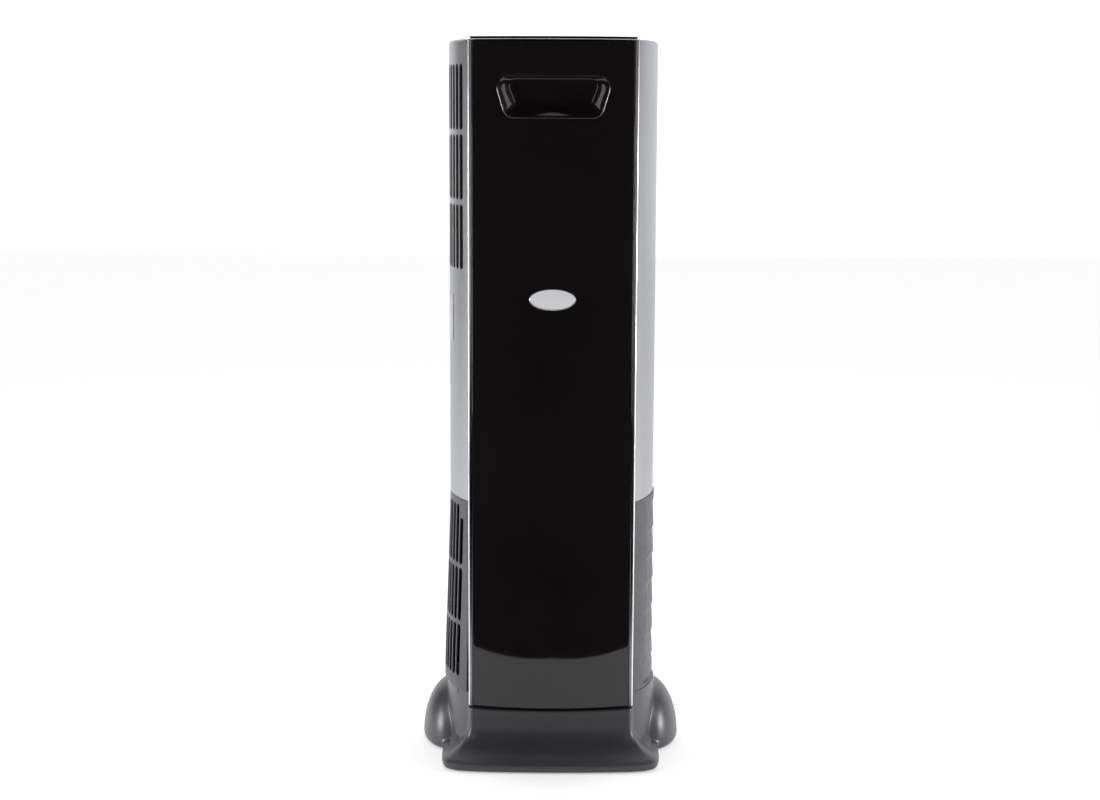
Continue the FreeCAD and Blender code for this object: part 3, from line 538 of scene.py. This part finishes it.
def wave_depth(turn, level):
    """How deep the overlapping crescents lie at one place of the lower right side."""
    if not WAVE_FIRST - 6 < level < WAVE_FIRST + WAVES * WAVE_PITCH:
        return 0.0
    phase = ((level - WAVE_FIRST) / WAVE_PITCH) % 1.0
    tooth = phase / WAVE_FALL if phase < WAVE_FALL else (1 - phase) / (1 - WAVE_FALL)
    bow = smooth_step(25.5, 21.5, turn + 3.0 * math.sin(math.pi * phase)) * smooth_step(-33, -28, turn)
    return WAVE_DEEP * tooth * bow


def lower_right_point(u, v):
    turn = u / DEG_MM
    inset = wave_depth(turn, v)
    if LOW_SLOT[0] - 0.7 < v < LOW_SLOT[1] + 0.5 and turn < 26:
        inset = LOW_SLOT_DEEP
    x, y = plan(1, turn, RIGHT_OVAL, inset)
    return x, y, v


wave_rows = [WAVE_FIRST + WAVE_PITCH * (tooth + share)
             for tooth in range(WAVES) for share in (0, 0.15, 0.3, 0.45, 0.6, 0.75, 0.87, 0.92, 0.96)]
mesh = sheet("right_lower_panel_skin", side_outline(RIGHT_OVAL, SEAM_LOW, SEAM_MID), [], lower_right_point,
             step=(3.2, 8.0), extra_rows=wave_rows + [100, 101, 106, 107], flip=True)
mesh = settle(mesh, solid=WALL, bevel=0.6, segments=2, angle=50)
keep("right_lower_panel_skin", mesh, "charcoal_shell", "housing", ["right_lower_panel"], "inner_plastic")


# Thin dark strip just above the floor of the low slot's groove: painted shade, a dark sheet that stands in for
# the shadow in the groove.
def low_slot_point(u, v):
    x, y = plan(1, u / DEG_MM, RIGHT_OVAL, LOW_SLOT_DEEP - 0.25)
    return x, y, v


outline = box_loop(-32 * DEG_MM, 25.3 * DEG_MM, *LOW_SLOT, 5.0)
mesh = settle(sheet("low_slot_painted_shade", outline, [], low_slot_point, step=(5, 3), flip=True), solid=0.2)
keep("low_slot_painted_shade", mesh, "inner_plastic", "housing")


# Label plate: a raised rim around a slightly lower plain field.
LABEL_FRONT, LABEL_REAR = 47.5, -9.4
LABEL_LOW, LABEL_TOP = 567, 629
LABEL_RIM = 4


def label_point(grow):
    """Carry the flat layout onto the upper left side, a little proud of it."""
    def to_space(u, v):
        x, y = plan(-1, u / DEG_MM, UPPER_OVAL, -grow)
        return x, y, v
    return to_space


def label_loop(inset, radius):
    return rounded_loop([(LABEL_REAR + inset, LABEL_LOW + inset), (LABEL_FRONT - inset, LABEL_LOW + inset),
                         (LABEL_FRONT - inset, LABEL_TOP - inset), (LABEL_REAR + inset, LABEL_TOP - inset)],
                        [radius] * 4)


label = label_loop(0, 3)
frame_line = label_loop(LABEL_RIM, 2)
mesh = sheet("label_plate_face", divided(label, 6), [frame_line], label_point(0.6), step=(4, 6))
rim = settle(mesh, solid=0.6, bevel=0.2, segments=2)
mesh = sheet("label_plate_field", divided(frame_line, 6), [], label_point(0.3), step=(5, 8))
field = settle(mesh, solid=0.3)
keep("label_plate_face", joined("label_plate_face", [rim, field]), "plate_film", "housing", ["label_plate"])
soften(bpy.data.objects["label_plate_face"].data)


# ---------------------------------------------------------------- back panels

def back_line():
    """Plan of the back from its left edge round both corners to its right edge."""
    points = []
    for turn in np.linspace(39.2, 51.0, 10):
        x, y = plan(-1, -turn, UPPER_OVAL)
        points.append((x, min(y, REAR_Y)))
    corner = [(x, y) for x, y in points if y < REAR_Y - 3]
    flat = [(x, REAR_Y) for x in np.linspace(-80.0, 80.0, 21)]
    blend_in = [(-86.0, 123.2), (-83.2, 124.6)]
    tongue = [(-106.4, 93.5), (-106.5, 98.5)]
    left = tongue + [(max(x, -107.1), y) for x, y in corner] + blend_in
    return left + flat + [(-x, y) for x, y in left[::-1]]


BACK_LINE = back_line()
BACK_RUN = [0.0]
for start, end in zip(BACK_LINE, BACK_LINE[1:]):
    BACK_RUN.append(BACK_RUN[-1] + math.dist(start, end))


def back_point(u, v):
    x = float(np.interp(u, BACK_RUN, [point[0] for point in BACK_LINE]))
    y = float(np.interp(u, BACK_RUN, [point[1] for point in BACK_LINE]))
    return x, y, v


def circle_loop(u, v, radius, count):
    turns = [math.tau * number / count for number in range(count)]
    return [(u + radius * math.cos(turn), v + radius * math.sin(turn)) for turn in turns]


# Name, lower edge, upper edge, finish and screw levels of each back panel.
BACK_PANELS = [("upper_back_panel", SEAM_MID + SEAM_GAP, 958.0, "silver_shell", (390, 660, 930)),
               ("lower_back_panel", SEAM_LOW, SEAM_MID, "charcoal_shell", (130, 330))]
BACK_SCREW_X = 80.0
INLET_HALF = 14.6
INLET_LOW, INLET_TOP = 119.4, 142.6

run_middle = BACK_RUN[-1] / 2
for name, low, high, slot, levels in BACK_PANELS:
    holes = [circle_loop(run_middle + side * BACK_SCREW_X, level, 2.1, 12)
             for side in (-1, 1) for level in levels]
    if name == "lower_back_panel":
        left, right = run_middle - INLET_HALF, run_middle + INLET_HALF
        holes.append(rounded_loop([(left, INLET_LOW), (right, INLET_LOW), (right, INLET_TOP), (left, INLET_TOP)],
                                  [2] * 4))
    outline = box_loop(0, BACK_RUN[-1], low, high, 8.0)
    mesh = sheet(name + "_skin", outline, holes, back_point, step=(4.0, 12.0), flip=True)
    mesh = settle(mesh, solid=WALL, bevel=0.6, segments=2)
    keep(name + "_skin", mesh, slot, "housing", [name], "inner_plastic")


# ---------------------------------------------------------------- front cover

def door_y(x, grow=0.0):
    """Front surface of the bulged cover."""
    radius = DOOR_CURVE + grow
    return DOOR_FACE + DOOR_CURVE - math.sqrt(radius * radius - x * x)


CUP_LOW, CUP_TOP = 860.9, 915.8
CUP_LOW_HALF, CUP_TOP_HALF = 61.0, 77.6
CUP_ROUNDS = [14.0, 14.0, 17.0, 17.0]
CUP_ARC_STEPS = 10
CUP_SIDE_PARTS = (20, 8, 24, 8)


def cup_loop(grow, drop=0.0, rise=0.0, narrow=0.0):
    """Outline of the finger cup, with its straight sides divided so that they follow the bulged cover."""
    low_half = CUP_LOW_HALF + grow - narrow
    top_half = CUP_TOP_HALF + grow - narrow
    corners = [(-low_half, CUP_LOW - grow + drop), (low_half, CUP_LOW - grow + drop),
               (top_half, CUP_TOP + grow - rise), (-top_half, CUP_TOP + grow - rise)]
    rounds = [max(3.0, radius + grow - 0.25 * narrow) for radius in CUP_ROUNDS]
    arcs = rounded_loop(corners, rounds, CUP_ARC_STEPS)
    arc_points = CUP_ARC_STEPS + 1
    loop = []
    for number, count in enumerate(CUP_SIDE_PARTS):
        arc = arcs[number * arc_points:(number + 1) * arc_points]
        after = arcs[(number + 1) * arc_points % len(arcs)]
        loop += arc
        loop += [tuple(Vector(arc[-1]).lerp(Vector(after), part / count)) for part in range(1, count)]
    return loop


def door_point(u, v):
    return u, door_y(u), v


PANE_HALF = 104.7
PANE_TOP = 958.2
PANE_EDGE = 1.7  # width of the pane's edge, where the mesh is kept even
inner_half = PANE_HALF - PANE_EDGE
outline = box_loop(-PANE_HALF, PANE_HALF, DOOR_LOW, PANE_TOP, 6.0)
inner_line = box_loop(-inner_half, inner_half, DOOR_LOW + PANE_EDGE, PANE_TOP - PANE_EDGE, 6.0)
mesh = sheet("front_cover_skin", outline, [cup_loop(-0.4)], door_point, step=(4.5, 9.0),
             support=[inner_line, cup_loop(1.8)])
mesh = settle(mesh, solid=WALL, bevel=0.8, segments=3)
keep("front_cover_skin", mesh, "gloss_black", "cover", ["front_cover"])
FLANGE_SECTION = [(104.6, -97.2), (104.6, -99.0), (101.0, -99.6), (101.0, -97.2)]
for side, name in ((-1, "front_cover_flange_left"), (1, "front_cover_flange_right")):
    strip = [[(side * x, y, level) for x, y in FLANGE_SECTION] for level in (83.0, 955.0)]
    mesh = loft(name, strip)
    soften(mesh)
    keep(name, mesh, "gloss_black", "cover")

# Trim profiles: inward reach at the sides, inward reach at the top, forward stand.
TRIM_BEVEL = [(0.0, 0.0, -2.3), (0.0, 0.0, -0.7), (0.3, 0.25, 0.05), (0.9, 0.55, 0.6), (1.6, 0.9, 0.85),
              (1.9, 1.05, 0.8), (2.0, 1.15, 0.3), (2.0, 1.15, -2.3)]
TRIM_STRIP = [(2.0, 1.15, -2.2), (2.0, 1.15, 0.2), (2.3, 1.25, 0.35), (4.7, 2.05, 0.3), (5.0, 2.2, 0.0),
              (5.0, 2.2, -2.2)]
TRIM_LEVELS = [81.0, 300.0, 620.0]
TRIM_REAR_Y = -97.1


def trim_rings(profile):
    """Rings of the trim from the lower left, over the top edge, to the lower right."""
    stations = [(-1.0, level) for level in TRIM_LEVELS]
    stations += [(share, None) for share in np.linspace(-1, 1, 33)]
    stations += [(1.0, level) for level in TRIM_LEVELS[::-1]]
    rings = []
    for share, level in stations:
        ring = []
        for inward, under, stand in profile:
            x = share * (DOOR_HALF - inward)
            z = DOOR_TOP - under if level is None else level
            ring.append((x, min(door_y(x) - stand, TRIM_REAR_Y), z))
        rings.append(ring)
    return rings


for name, profile, look in (("cover_bezel_trim", TRIM_BEVEL, "silver_trim"),
                            ("cover_bezel_strip", TRIM_STRIP, "satin_trim")):
    mesh = loft(name, trim_rings(profile))
    soften(mesh, 28)
    item = keep(name, mesh, "silver_trim", "cover", ["cover_bezel"])
    item.data.materials[0] = FINISHES[look]

# Finger cup: rings from the rim over a round lip, down the sloped walls to the floor. Each has its growth,
# the rise of its lower edge, the fall of its upper edge, its narrowing and its stand out of the cover.
CUP_RINGS = [(0.0, 0, 0, 0, -1.2), (0.0, 0, 0, 0, 0.3), (-0.5, 0, 0, 0, 0.7), (-1.2, 0, 0, 0, 0.6),
             (-1.9, 0.2, 0.1, 0.1, -0.1), (-2.2, 1.0, 0.2, 0.8, -1.2), (-2.4, 7.0, 0.9, 5.4, -6.6),
             (-2.6, 11.0, 1.4, 8.6, -10.3), (-2.8, 12.2, 1.8, 9.7, -11.4), (-3.2, 13.4, 2.3, 10.8, -12.4),
             (-3.9, 14.4, 3.0, 11.8, -13.1), (-4.9, 15.2, 3.8, 12.6, -13.6), (-6.2, 15.8, 4.6, 13.2, -13.8),
             (-9.0, 16.4, 5.4, 13.8, -13.8)]


def cup_ring(grow, drop, rise, narrow, stand):
    depth = smooth_step(0.0, 12.0, -stand)
    ring = []
    for x, z in cup_loop(grow, drop, rise, narrow):
        front = door_y(x) * (1 - depth) + DOOR_FACE * depth
        ring.append((x, front - stand, z))
    return ring


rings = [cup_ring(*values) for values in CUP_RINGS]
mesh = loft("pull_cup_skin", rings, cap=(False, True))
form = bmesh.new()
form.from_mesh(mesh)
bmesh.ops.triangulate(form, faces=[face for face in form.faces if len(face.verts) > 4])
form.to_mesh(mesh)
form.free()
mesh = settle(mesh, solid=1.2)
keep("pull_cup_skin", mesh, "gloss_black", "cover", ["pull_cup"])

# Bright line around the cup: growth of the outline and stand on the cover.
RIM_PROFILE = [(0.7, -0.2), (0.7, 0.35), (0.45, 0.65), (0.1, 0.75), (-0.1, 0.5), (-0.1, -0.2)]
loops = [cup_loop(grow) for grow, _ in RIM_PROFILE]
stands = [stand for _, stand in RIM_PROFILE]
rings = [[(x, door_y(x) - stand, z) for (x, z), stand in zip(points, stands)] for points in zip(*loops)]
rings.append(rings[0])
mesh = welded(loft("pull_rim", rings, cap=(False, False)))
soften(mesh, 50)
item = keep("pull_rim", mesh, "silver_trim", "cover")
item.data.materials[0] = FINISHES["satin_trim"]

# Badge: low pearl dome in a thin bright rim.
BADGE_Z = 628.5
BADGE_WIDE, BADGE_TALL = 30.0, 14.0  # half sizes
BADGE_STEPS = 72
BADGE_RIM = [(0.0, 0.02), (0.0, 0.8), (0.35, 1.1), (1.0, 1.15), (1.25, 0.9), (1.25, 0.02)]  # inset and stand


def oval_ring(inset, stand):
    ring = []
    for number in range(BADGE_STEPS):
        turn = math.tau * number / BADGE_STEPS
        x = (BADGE_WIDE - inset) * math.cos(turn)
        z = BADGE_Z + (BADGE_TALL - inset) * math.sin(turn)
        ring.append((x, door_y(x) - stand, z))
    return ring


mesh = loft("badge_rim", [oval_ring(inset, stand) for inset, stand in BADGE_RIM])
soften(mesh, 40)
keep("badge_rim", mesh, "silver_trim", "cover")
dome = [oval_ring(1.3, 0.1)] + [oval_ring(1.3 + 12.4 * share, 0.95 + 0.35 * (1 - (1 - share) ** 2))
                               for share in np.linspace(0, 1, 8)]
mesh = loft("badge_dome", dome)
soften(mesh, 60)
keep("badge_dome", mesh, "pearl", "cover", ["badge"])


# ---------------------------------------------------------------- top plate and keys

BUTTONS = {"button_power": -51.0, "button_speed": -17.0, "button_timer": 17.0, "button_night": 51.0}
BUTTON_Y = -60.0
BUTTON_HOLE = 8.3
KEY_STEPS = 40
PLATE_HALF = 107.0
PLATE_THICK = 2.2
SKIRT_FRONT_Y = -94.0


def cap_outline(inset=0.0, front=True):
    """Plan of the top plate. With front, it reaches over the cover; without, it ends behind the cover."""
    half = PLATE_HALF - inset
    if front:
        ahead = [(x, door_y(x, -1.5) + inset) for x in np.linspace(-half, half, 25)]
    else:
        ahead = [(-half, SKIRT_FRONT_Y + inset), (half, SKIRT_FRONT_Y + inset)]
    half_w, half_d = UPPER_OVAL
    back = []
    for x in np.linspace(half, -half, 31):
        y = half_d * math.sqrt(1 - (x / half_w) ** 2)
        back.append((x, min(y, REAR_Y) - inset))
    return ahead + back


def plate_point(level):
    def to_space(u, v):
        return u, v, level
    return to_space


holes = [circle_loop(x, BUTTON_Y, BUTTON_HOLE, 32) for x in BUTTONS.values()]
holes.append(rounded_loop([(-30.3, -30.3), (30.3, -30.3), (30.3, -5.7), (-30.3, -5.7)], [2.0] * 4))
wide_holes = [circle_loop(x, BUTTON_Y, 10.0, 32) for x in BUTTONS.values()]
mesh = sheet("top_plate_face", divided(cap_outline(), 8.0), holes, plate_point(TOTAL_HIGH), step=(8.0, 8.0),
             support=[divided(cap_outline(2.0), 8.0), *wide_holes])
mesh = settle(mesh, solid=PLATE_THICK, bevel=0.8, segments=3)
keep("top_plate_face", mesh, "gloss_black", "housing", ["top_plate"])
skirt_line = divided(cap_outline(0.2, False), 8.0)
skirt_hole = divided(cap_outline(3.0, False), 8.0)
mesh = sheet("top_plate_skirt", skirt_line, [skirt_hole], plate_point(TOTAL_HIGH - PLATE_THICK),
             step=(8.0, 8.0))
mesh = settle(mesh, solid=2.8)
keep("top_plate_skirt", mesh, "gloss_black", "housing")

# Radius and level of a key's outline, from its stem to its dished top.
KEY_PROFILE = [(0.01, -7.6), (2.9, -7.6), (2.9, -4.0), (9.3, -4.0), (9.3, -2.9), (8.0, -2.8), (8.0, -0.8),
               (7.8, -0.3), (7.3, -0.05), (6.6, -0.1), (5.6, -0.45), (3.0, -0.65), (0.01, -0.7)]
for name, x in BUTTONS.items():
    rings = [[(u, v, TOTAL_HIGH + level) for u, v in circle_loop(x, BUTTON_Y, radius, KEY_STEPS)]
             for radius, level in KEY_PROFILE]
    mesh = loft(name + "_key", rings)
    soften(mesh, 45)
    keep(name + "_key", mesh, "button_key", name, [name])


# ---------------------------------------------------------------- base

FLARE_TOP = 62.0
FLARE_HIGH = 50.0
LIP_TOP = 8.0
LIP_HIGH = 7.2
LIP_ROUND = 4.5
NECK_TOP = 77.0
LOBE_X, LOBE_Y, LOBE_Z = 135.0, 28.0, 7.0
LOBE_WIDE, LOBE_LONG, LOBE_TALL = 44.0, 80.0, 77.0


def soft_max(a, b, blend):
    """The larger of two reaches, with a fillet where they are nearly equal."""
    near = max(blend - abs(a - b), 0.0) / blend
    return max(a, b) + near * near * blend / 4


def soft_min(a, b, blend):
    return -soft_max(-a, -b, blend)


def oval_reach(half_w, half_d, turn):
    return 1 / math.hypot(math.cos(turn) / half_w, math.sin(turn) / half_d)


def flare(level):
    """How far the skirt has spread at one height: 0 under the cover, 1 near the floor."""
    return min(1.0, max(0.0, (FLARE_TOP - level) / FLARE_HIGH)) ** 3


def lip(level):
    """Rounded edge along the floor."""
    if level >= LIP_TOP:
        return 0.0
    return LIP_ROUND * (1 - math.sqrt(max(0.0, 1 - ((LIP_TOP - level) / LIP_HIGH) ** 2)))


def slopes(turn):
    """Cosine and sine of an angle without their signs, and never zero."""
    return max(abs(math.cos(turn)), 1e-6), max(abs(math.sin(turn)), 1e-6)


def skirt_reach(turn, level):
    """Front of the skirt: a rounded box with a bowed front, wider towards the floor."""
    spread = flare(level)
    half = 110 + 36.5 * spread
    front = 113.5 + 31.0 * spread
    bow = 8.0
    power = 26 - 14 * spread
    cos, sin = slopes(turn)
    side = half / cos
    ahead = front / sin
    bend = bow * (min(ahead * cos, half) / half) ** 2
    ahead = (front - bend) / sin
    return (side ** -power + ahead ** -power) ** (-1 / power)


def rear_reach(turn, level):
    """Rear of the skirt: a rounder box."""
    spread = flare(level)
    half = 90 + 50 * spread
    rear = 128 + 15.5 * spread
    power = 12 - 6 * spread
    cos, sin = slopes(turn)
    return ((half / cos) ** -power + (rear / sin) ** -power) ** (-1 / power)


def lobe_reach(turn, level):
    """Side bulges: an ellipsoid each, upright below its middle."""
    rise = max(0.0, level - LOBE_Z) / LOBE_TALL
    if rise >= 1:
        return 0.0
    swell = math.sqrt(1 - rise * rise)
    half_x, half_y = LOBE_WIDE * swell, LOBE_LONG * swell
    cos, sin = abs(math.cos(turn)), math.sin(turn)
    a = (cos / half_x) ** 2 + (sin / half_y) ** 2
    b = -2 * (LOBE_X * cos / half_x ** 2 + LOBE_Y * sin / half_y ** 2)
    c = (LOBE_X / half_x) ** 2 + (LOBE_Y / half_y) ** 2 - 1
    root = (b * b - 4 * a * c) / (4 * a * a)
    softness = 60.0  # lets the reach fall off gently beside the lobe
    return -b / (2 * a) + root / math.sqrt(abs(root) + softness)


def collar_reach(turn):
    """Neck of the base: the housing's oval, cut off flat at the rear and behind the cover."""
    reach = oval_reach(*COLLAR_OVAL, turn)
    sin = math.sin(turn)
    if sin > 0:
        reach = soft_min(reach, 129.0 / sin, 8.0)
    else:
        reach = soft_min(reach, 96.5 / max(-sin, 1e-6), 2.0)
    return reach


def base_reach(turn, level, skirt=True):
    reach = collar_reach(turn)
    if skirt:
        spread_reach = skirt_reach if math.sin(turn) < 0 else rear_reach
        reach = soft_max(reach, spread_reach(turn, level), 4.0)
    reach = soft_max(reach, lobe_reach(turn, level), 8.0)
    return reach - lip(level)


BASE_STEPS = 1080
TURNS = [math.tau * number / BASE_STEPS for number in range(BASE_STEPS)]


def base_ring(level, inset=0.0, skirt=True):
    """One ring of the base. A skirt's edge is inset only where the skirt stands out."""
    ring = []
    for turn in TURNS:
        reach = base_reach(turn, level, skirt)
        if skirt and level > NECK_TOP - 1:
            reach -= inset * smooth_step(0.5, 4.0, reach - base_reach(turn, level, False))
        else:
            reach -= inset
        ring.append((reach * math.cos(turn), reach * math.sin(turn), level))
    return ring


OUTER_LEVELS = [1.2, 1.5, 2.0, 2.8, 4.0, 5.6, 8.0, 11.0, 14.0] + [15.0 + step for step in range(60)]
# Level and inset of the rounded edges at the skirt's top and at the neck's top.
SKIRT_EDGE = [(75.6, 0.0), (76.5, 0.4), (76.9, 1.2)]
NECK_LEVELS = (NECK_TOP, 79.0, 81.0, 83.0, 85.0, 87.0, 89.0, 91.0, 93.0, 95.4)
NECK_EDGE = [(96.3, 0.3), (96.6, 1.0), (96.6, 30.0)]
INNER_LEVELS = (1.2, 14.0, 30.0, 46.0, 60.0, 72.0)

rings = [base_ring(level) for level in OUTER_LEVELS]
rings += [base_ring(level, inset) for level, inset in SKIRT_EDGE]
rings += [base_ring(level, 0.0, False) for level in NECK_LEVELS]
rings += [base_ring(level, inset, False) for level, inset in NECK_EDGE]
inner = [base_ring(level, 3.0) for level in INNER_LEVELS] + [base_ring(73.0, 30.0)]
outer_mesh = loft("base_outer", rings, cap=(False, True))
inner_mesh = loft("base_inner", inner, cap=(False, True))
lip_mesh = loft("base_lip", [rings[0], inner[0]], cap=(False, False))
mesh = welded(joined("base_shell_skin", [outer_mesh, inner_mesh, lip_mesh]))
soften(mesh, 40)
keep("base_shell_skin", mesh, "charcoal_base", "housing", ["base_shell"])


# Small latch notch in the neck, under the seam on the left. It is drawn as a thin dark patch standing on the
# neck, with no recess: painted shade in place of the notch's shaded hollow.
NOTCH_X, NOTCH_Y = -126.0, -70.3
NOTCH_OUT = Vector((NOTCH_X / COLLAR_OVAL[0] ** 2, NOTCH_Y / COLLAR_OVAL[1] ** 2)).normalized()


def notch_ring(out):
    ring = []
    for along, z in rounded_loop([(-1.5, 87.5), (1.5, 87.5), (1.5, 95.2), (-1.5, 95.2)], [0.8] * 4, 3):
        x = NOTCH_X - NOTCH_OUT.y * along + NOTCH_OUT.x * out
        y = NOTCH_Y + NOTCH_OUT.x * along + NOTCH_OUT.y * out
        ring.append((x, y, z))
    return ring


mesh = loft("base_notch_painted_shade", [notch_ring(out) for out in (-1.0, 0.1, 0.16)])
soften(mesh, 40)
keep("base_notch_painted_shade", mesh, "inner_plastic", "housing")


# ---------------------------------------------------------------- stage, lights and camera

def stage_plane(name, corners, colour):
    """Flat plane of the studio, matt and with a plain material."""
    mesh = bpy.data.meshes.new(name)
    mesh.from_pydata(corners, [], [tuple(range(len(corners)))])
    item = bpy.data.objects.new(name, mesh)
    bpy.context.scene.collection.objects.link(item)
    mat = bpy.data.materials.new(name)
    mat.use_nodes = True
    shader = mat.node_tree.nodes["Principled BSDF"]
    shader.inputs["Base Color"].default_value = (*colour, 1.0)
    shader.inputs["Roughness"].default_value = 0.9
    shader.inputs["Specular IOR Level"].default_value = 0.2
    mesh.materials.append(mat)
    return item


floor = stage_plane("floor", [(-9, -9, 0), (9, -9, 0), (9, 9, 0), (-9, 9, 0)], (0.97, 0.97, 0.97))
floor_shader = floor.data.materials[0].node_tree.nodes["Principled BSDF"]
floor_shader.inputs["Emission Color"].default_value = (1.0, 1.0, 1.0, 1.0)
floor_shader.inputs["Emission Strength"].default_value = 0.32


def card(name, corners, level):
    """Studio card that only reflections see."""
    item = stage_plane(name, corners, (level, level * 0.97, level * 0.97))
    tree = item.data.materials[0].node_tree
    glow = node(tree, "ShaderNodeEmission", Color=(level, level * 0.97, level * 0.97, 1.0))
    tree.links.new(glow.outputs["Emission"], tree.nodes["Material Output"].inputs["Surface"])
    item.visible_camera = False
    item.visible_diffuse = False
    item.visible_shadow = False
    item.visible_transmission = False


# The polished cover mirrors the studio: dark in front, with a bent edge of pale floor near its foot.
card("dark_floor_card", [(-4, -6, 0.004), (4, -6, 0.004), (4, -0.25, 0.004), (0.39, -0.572, 0.004),
                         (0, -0.61, 0.004), (-0.39, -0.572, 0.004), (-4, -0.25, 0.004)], 0.004)
card("skirt_floor_card", [(-0.30, -0.30, 0.003), (0.30, -0.30, 0.003), (0.30, -0.165, 0.003),
                          (-0.30, -0.165, 0.003)], 0.16)
card("dark_wall_card", [(-4, -5.9, 0), (4, -5.9, 0), (4, -5.9, 5), (-4, -5.9, 5)], 0.004)
card("dark_top_card", [(-4, -6, 5), (4, -6, 5), (4, 1.6, 5), (-4, 1.6, 5)], 0.02)
card("left_card", [(-4, -6, 0), (-4, 4.4, 0), (-4, 4.4, 5), (-4, -6, 5)], 0.05)
card("right_card", [(4, -6, 0), (4, 2.2, 0), (4, 2.2, 5), (4, -6, 5)], 0.20)
for side, name in ((-1, "left_strip_card"), (1, "right_strip_card")):
    card(name, [(side * 1.72, -1.72, 0.25), (side * 1.52, -1.88, 0.25),
                (side * 1.52, -1.88, 1.95), (side * 1.72, -1.72, 1.95)], 2.2)


def area_light(name, place, aim, size, power):
    lamp = bpy.data.lights.new(name, "AREA")
    lamp.shape = "RECTANGLE"
    lamp.size, lamp.size_y = size
    lamp.energy = power
    item = bpy.data.objects.new(name, lamp)
    bpy.context.scene.collection.objects.link(item)
    item.location = place
    item.rotation_euler = (Vector(aim) - Vector(place)).to_track_quat("-Z", "Y").to_euler()


area_light("left_softbox", (-2.0, -0.30, 0.50), (0, 0, 0.05), (0.7, 0.7), 26)
area_light("right_softbox", (2.0, -0.30, 0.50), (0, 0, 0.05), (0.7, 0.7), 26)
area_light("top_softbox", (0, 0.6, 3.2), (0, 0, 0.4), (2.5, 2.0), 12)

# Studio surroundings: dim in front of the object and bright behind it.
world = bpy.data.worlds.new("studio")
world.use_nodes = True
sky = world.node_tree
heading = sky.nodes.new("ShaderNodeTexCoord").outputs["Generated"]
split = sky.nodes.new("ShaderNodeSeparateXYZ")
sky.links.new(heading, split.inputs["Vector"])
level = node(sky, "ShaderNodeMapRange", From_Min=-0.4, From_Max=0.5, To_Min=0.12, To_Max=1.25)
sky.links.new(split.outputs["Y"], level.inputs["Value"])
sky.links.new(level.outputs["Result"], sky.nodes["Background"].inputs["Strength"])
sky.nodes["Background"].inputs["Color"].default_value = (1.0, 1.0, 1.0, 1.0)
bpy.context.scene.world = world
bpy.context.scene.view_settings.view_transform = "Standard"

CAMERA_PLACE = (-0.0027, -2.55, 0.868)
CAMERA_DIP = 8.65  # degrees
CAMERA_ROLL = 0.25
camera_data = bpy.data.cameras.new("camera")
camera_data.lens = 61.92
camera_data.sensor_width = 36.0
camera = bpy.data.objects.new("camera", camera_data)
bpy.context.scene.collection.objects.link(camera)
camera.location = CAMERA_PLACE
dip = Matrix.Rotation(math.radians(90 - CAMERA_DIP), 3, "X")
camera.rotation_euler = (dip @ Matrix.Rotation(math.radians(CAMERA_ROLL), 3, "Z")).to_euler()
bpy.context.scene.camera = camera
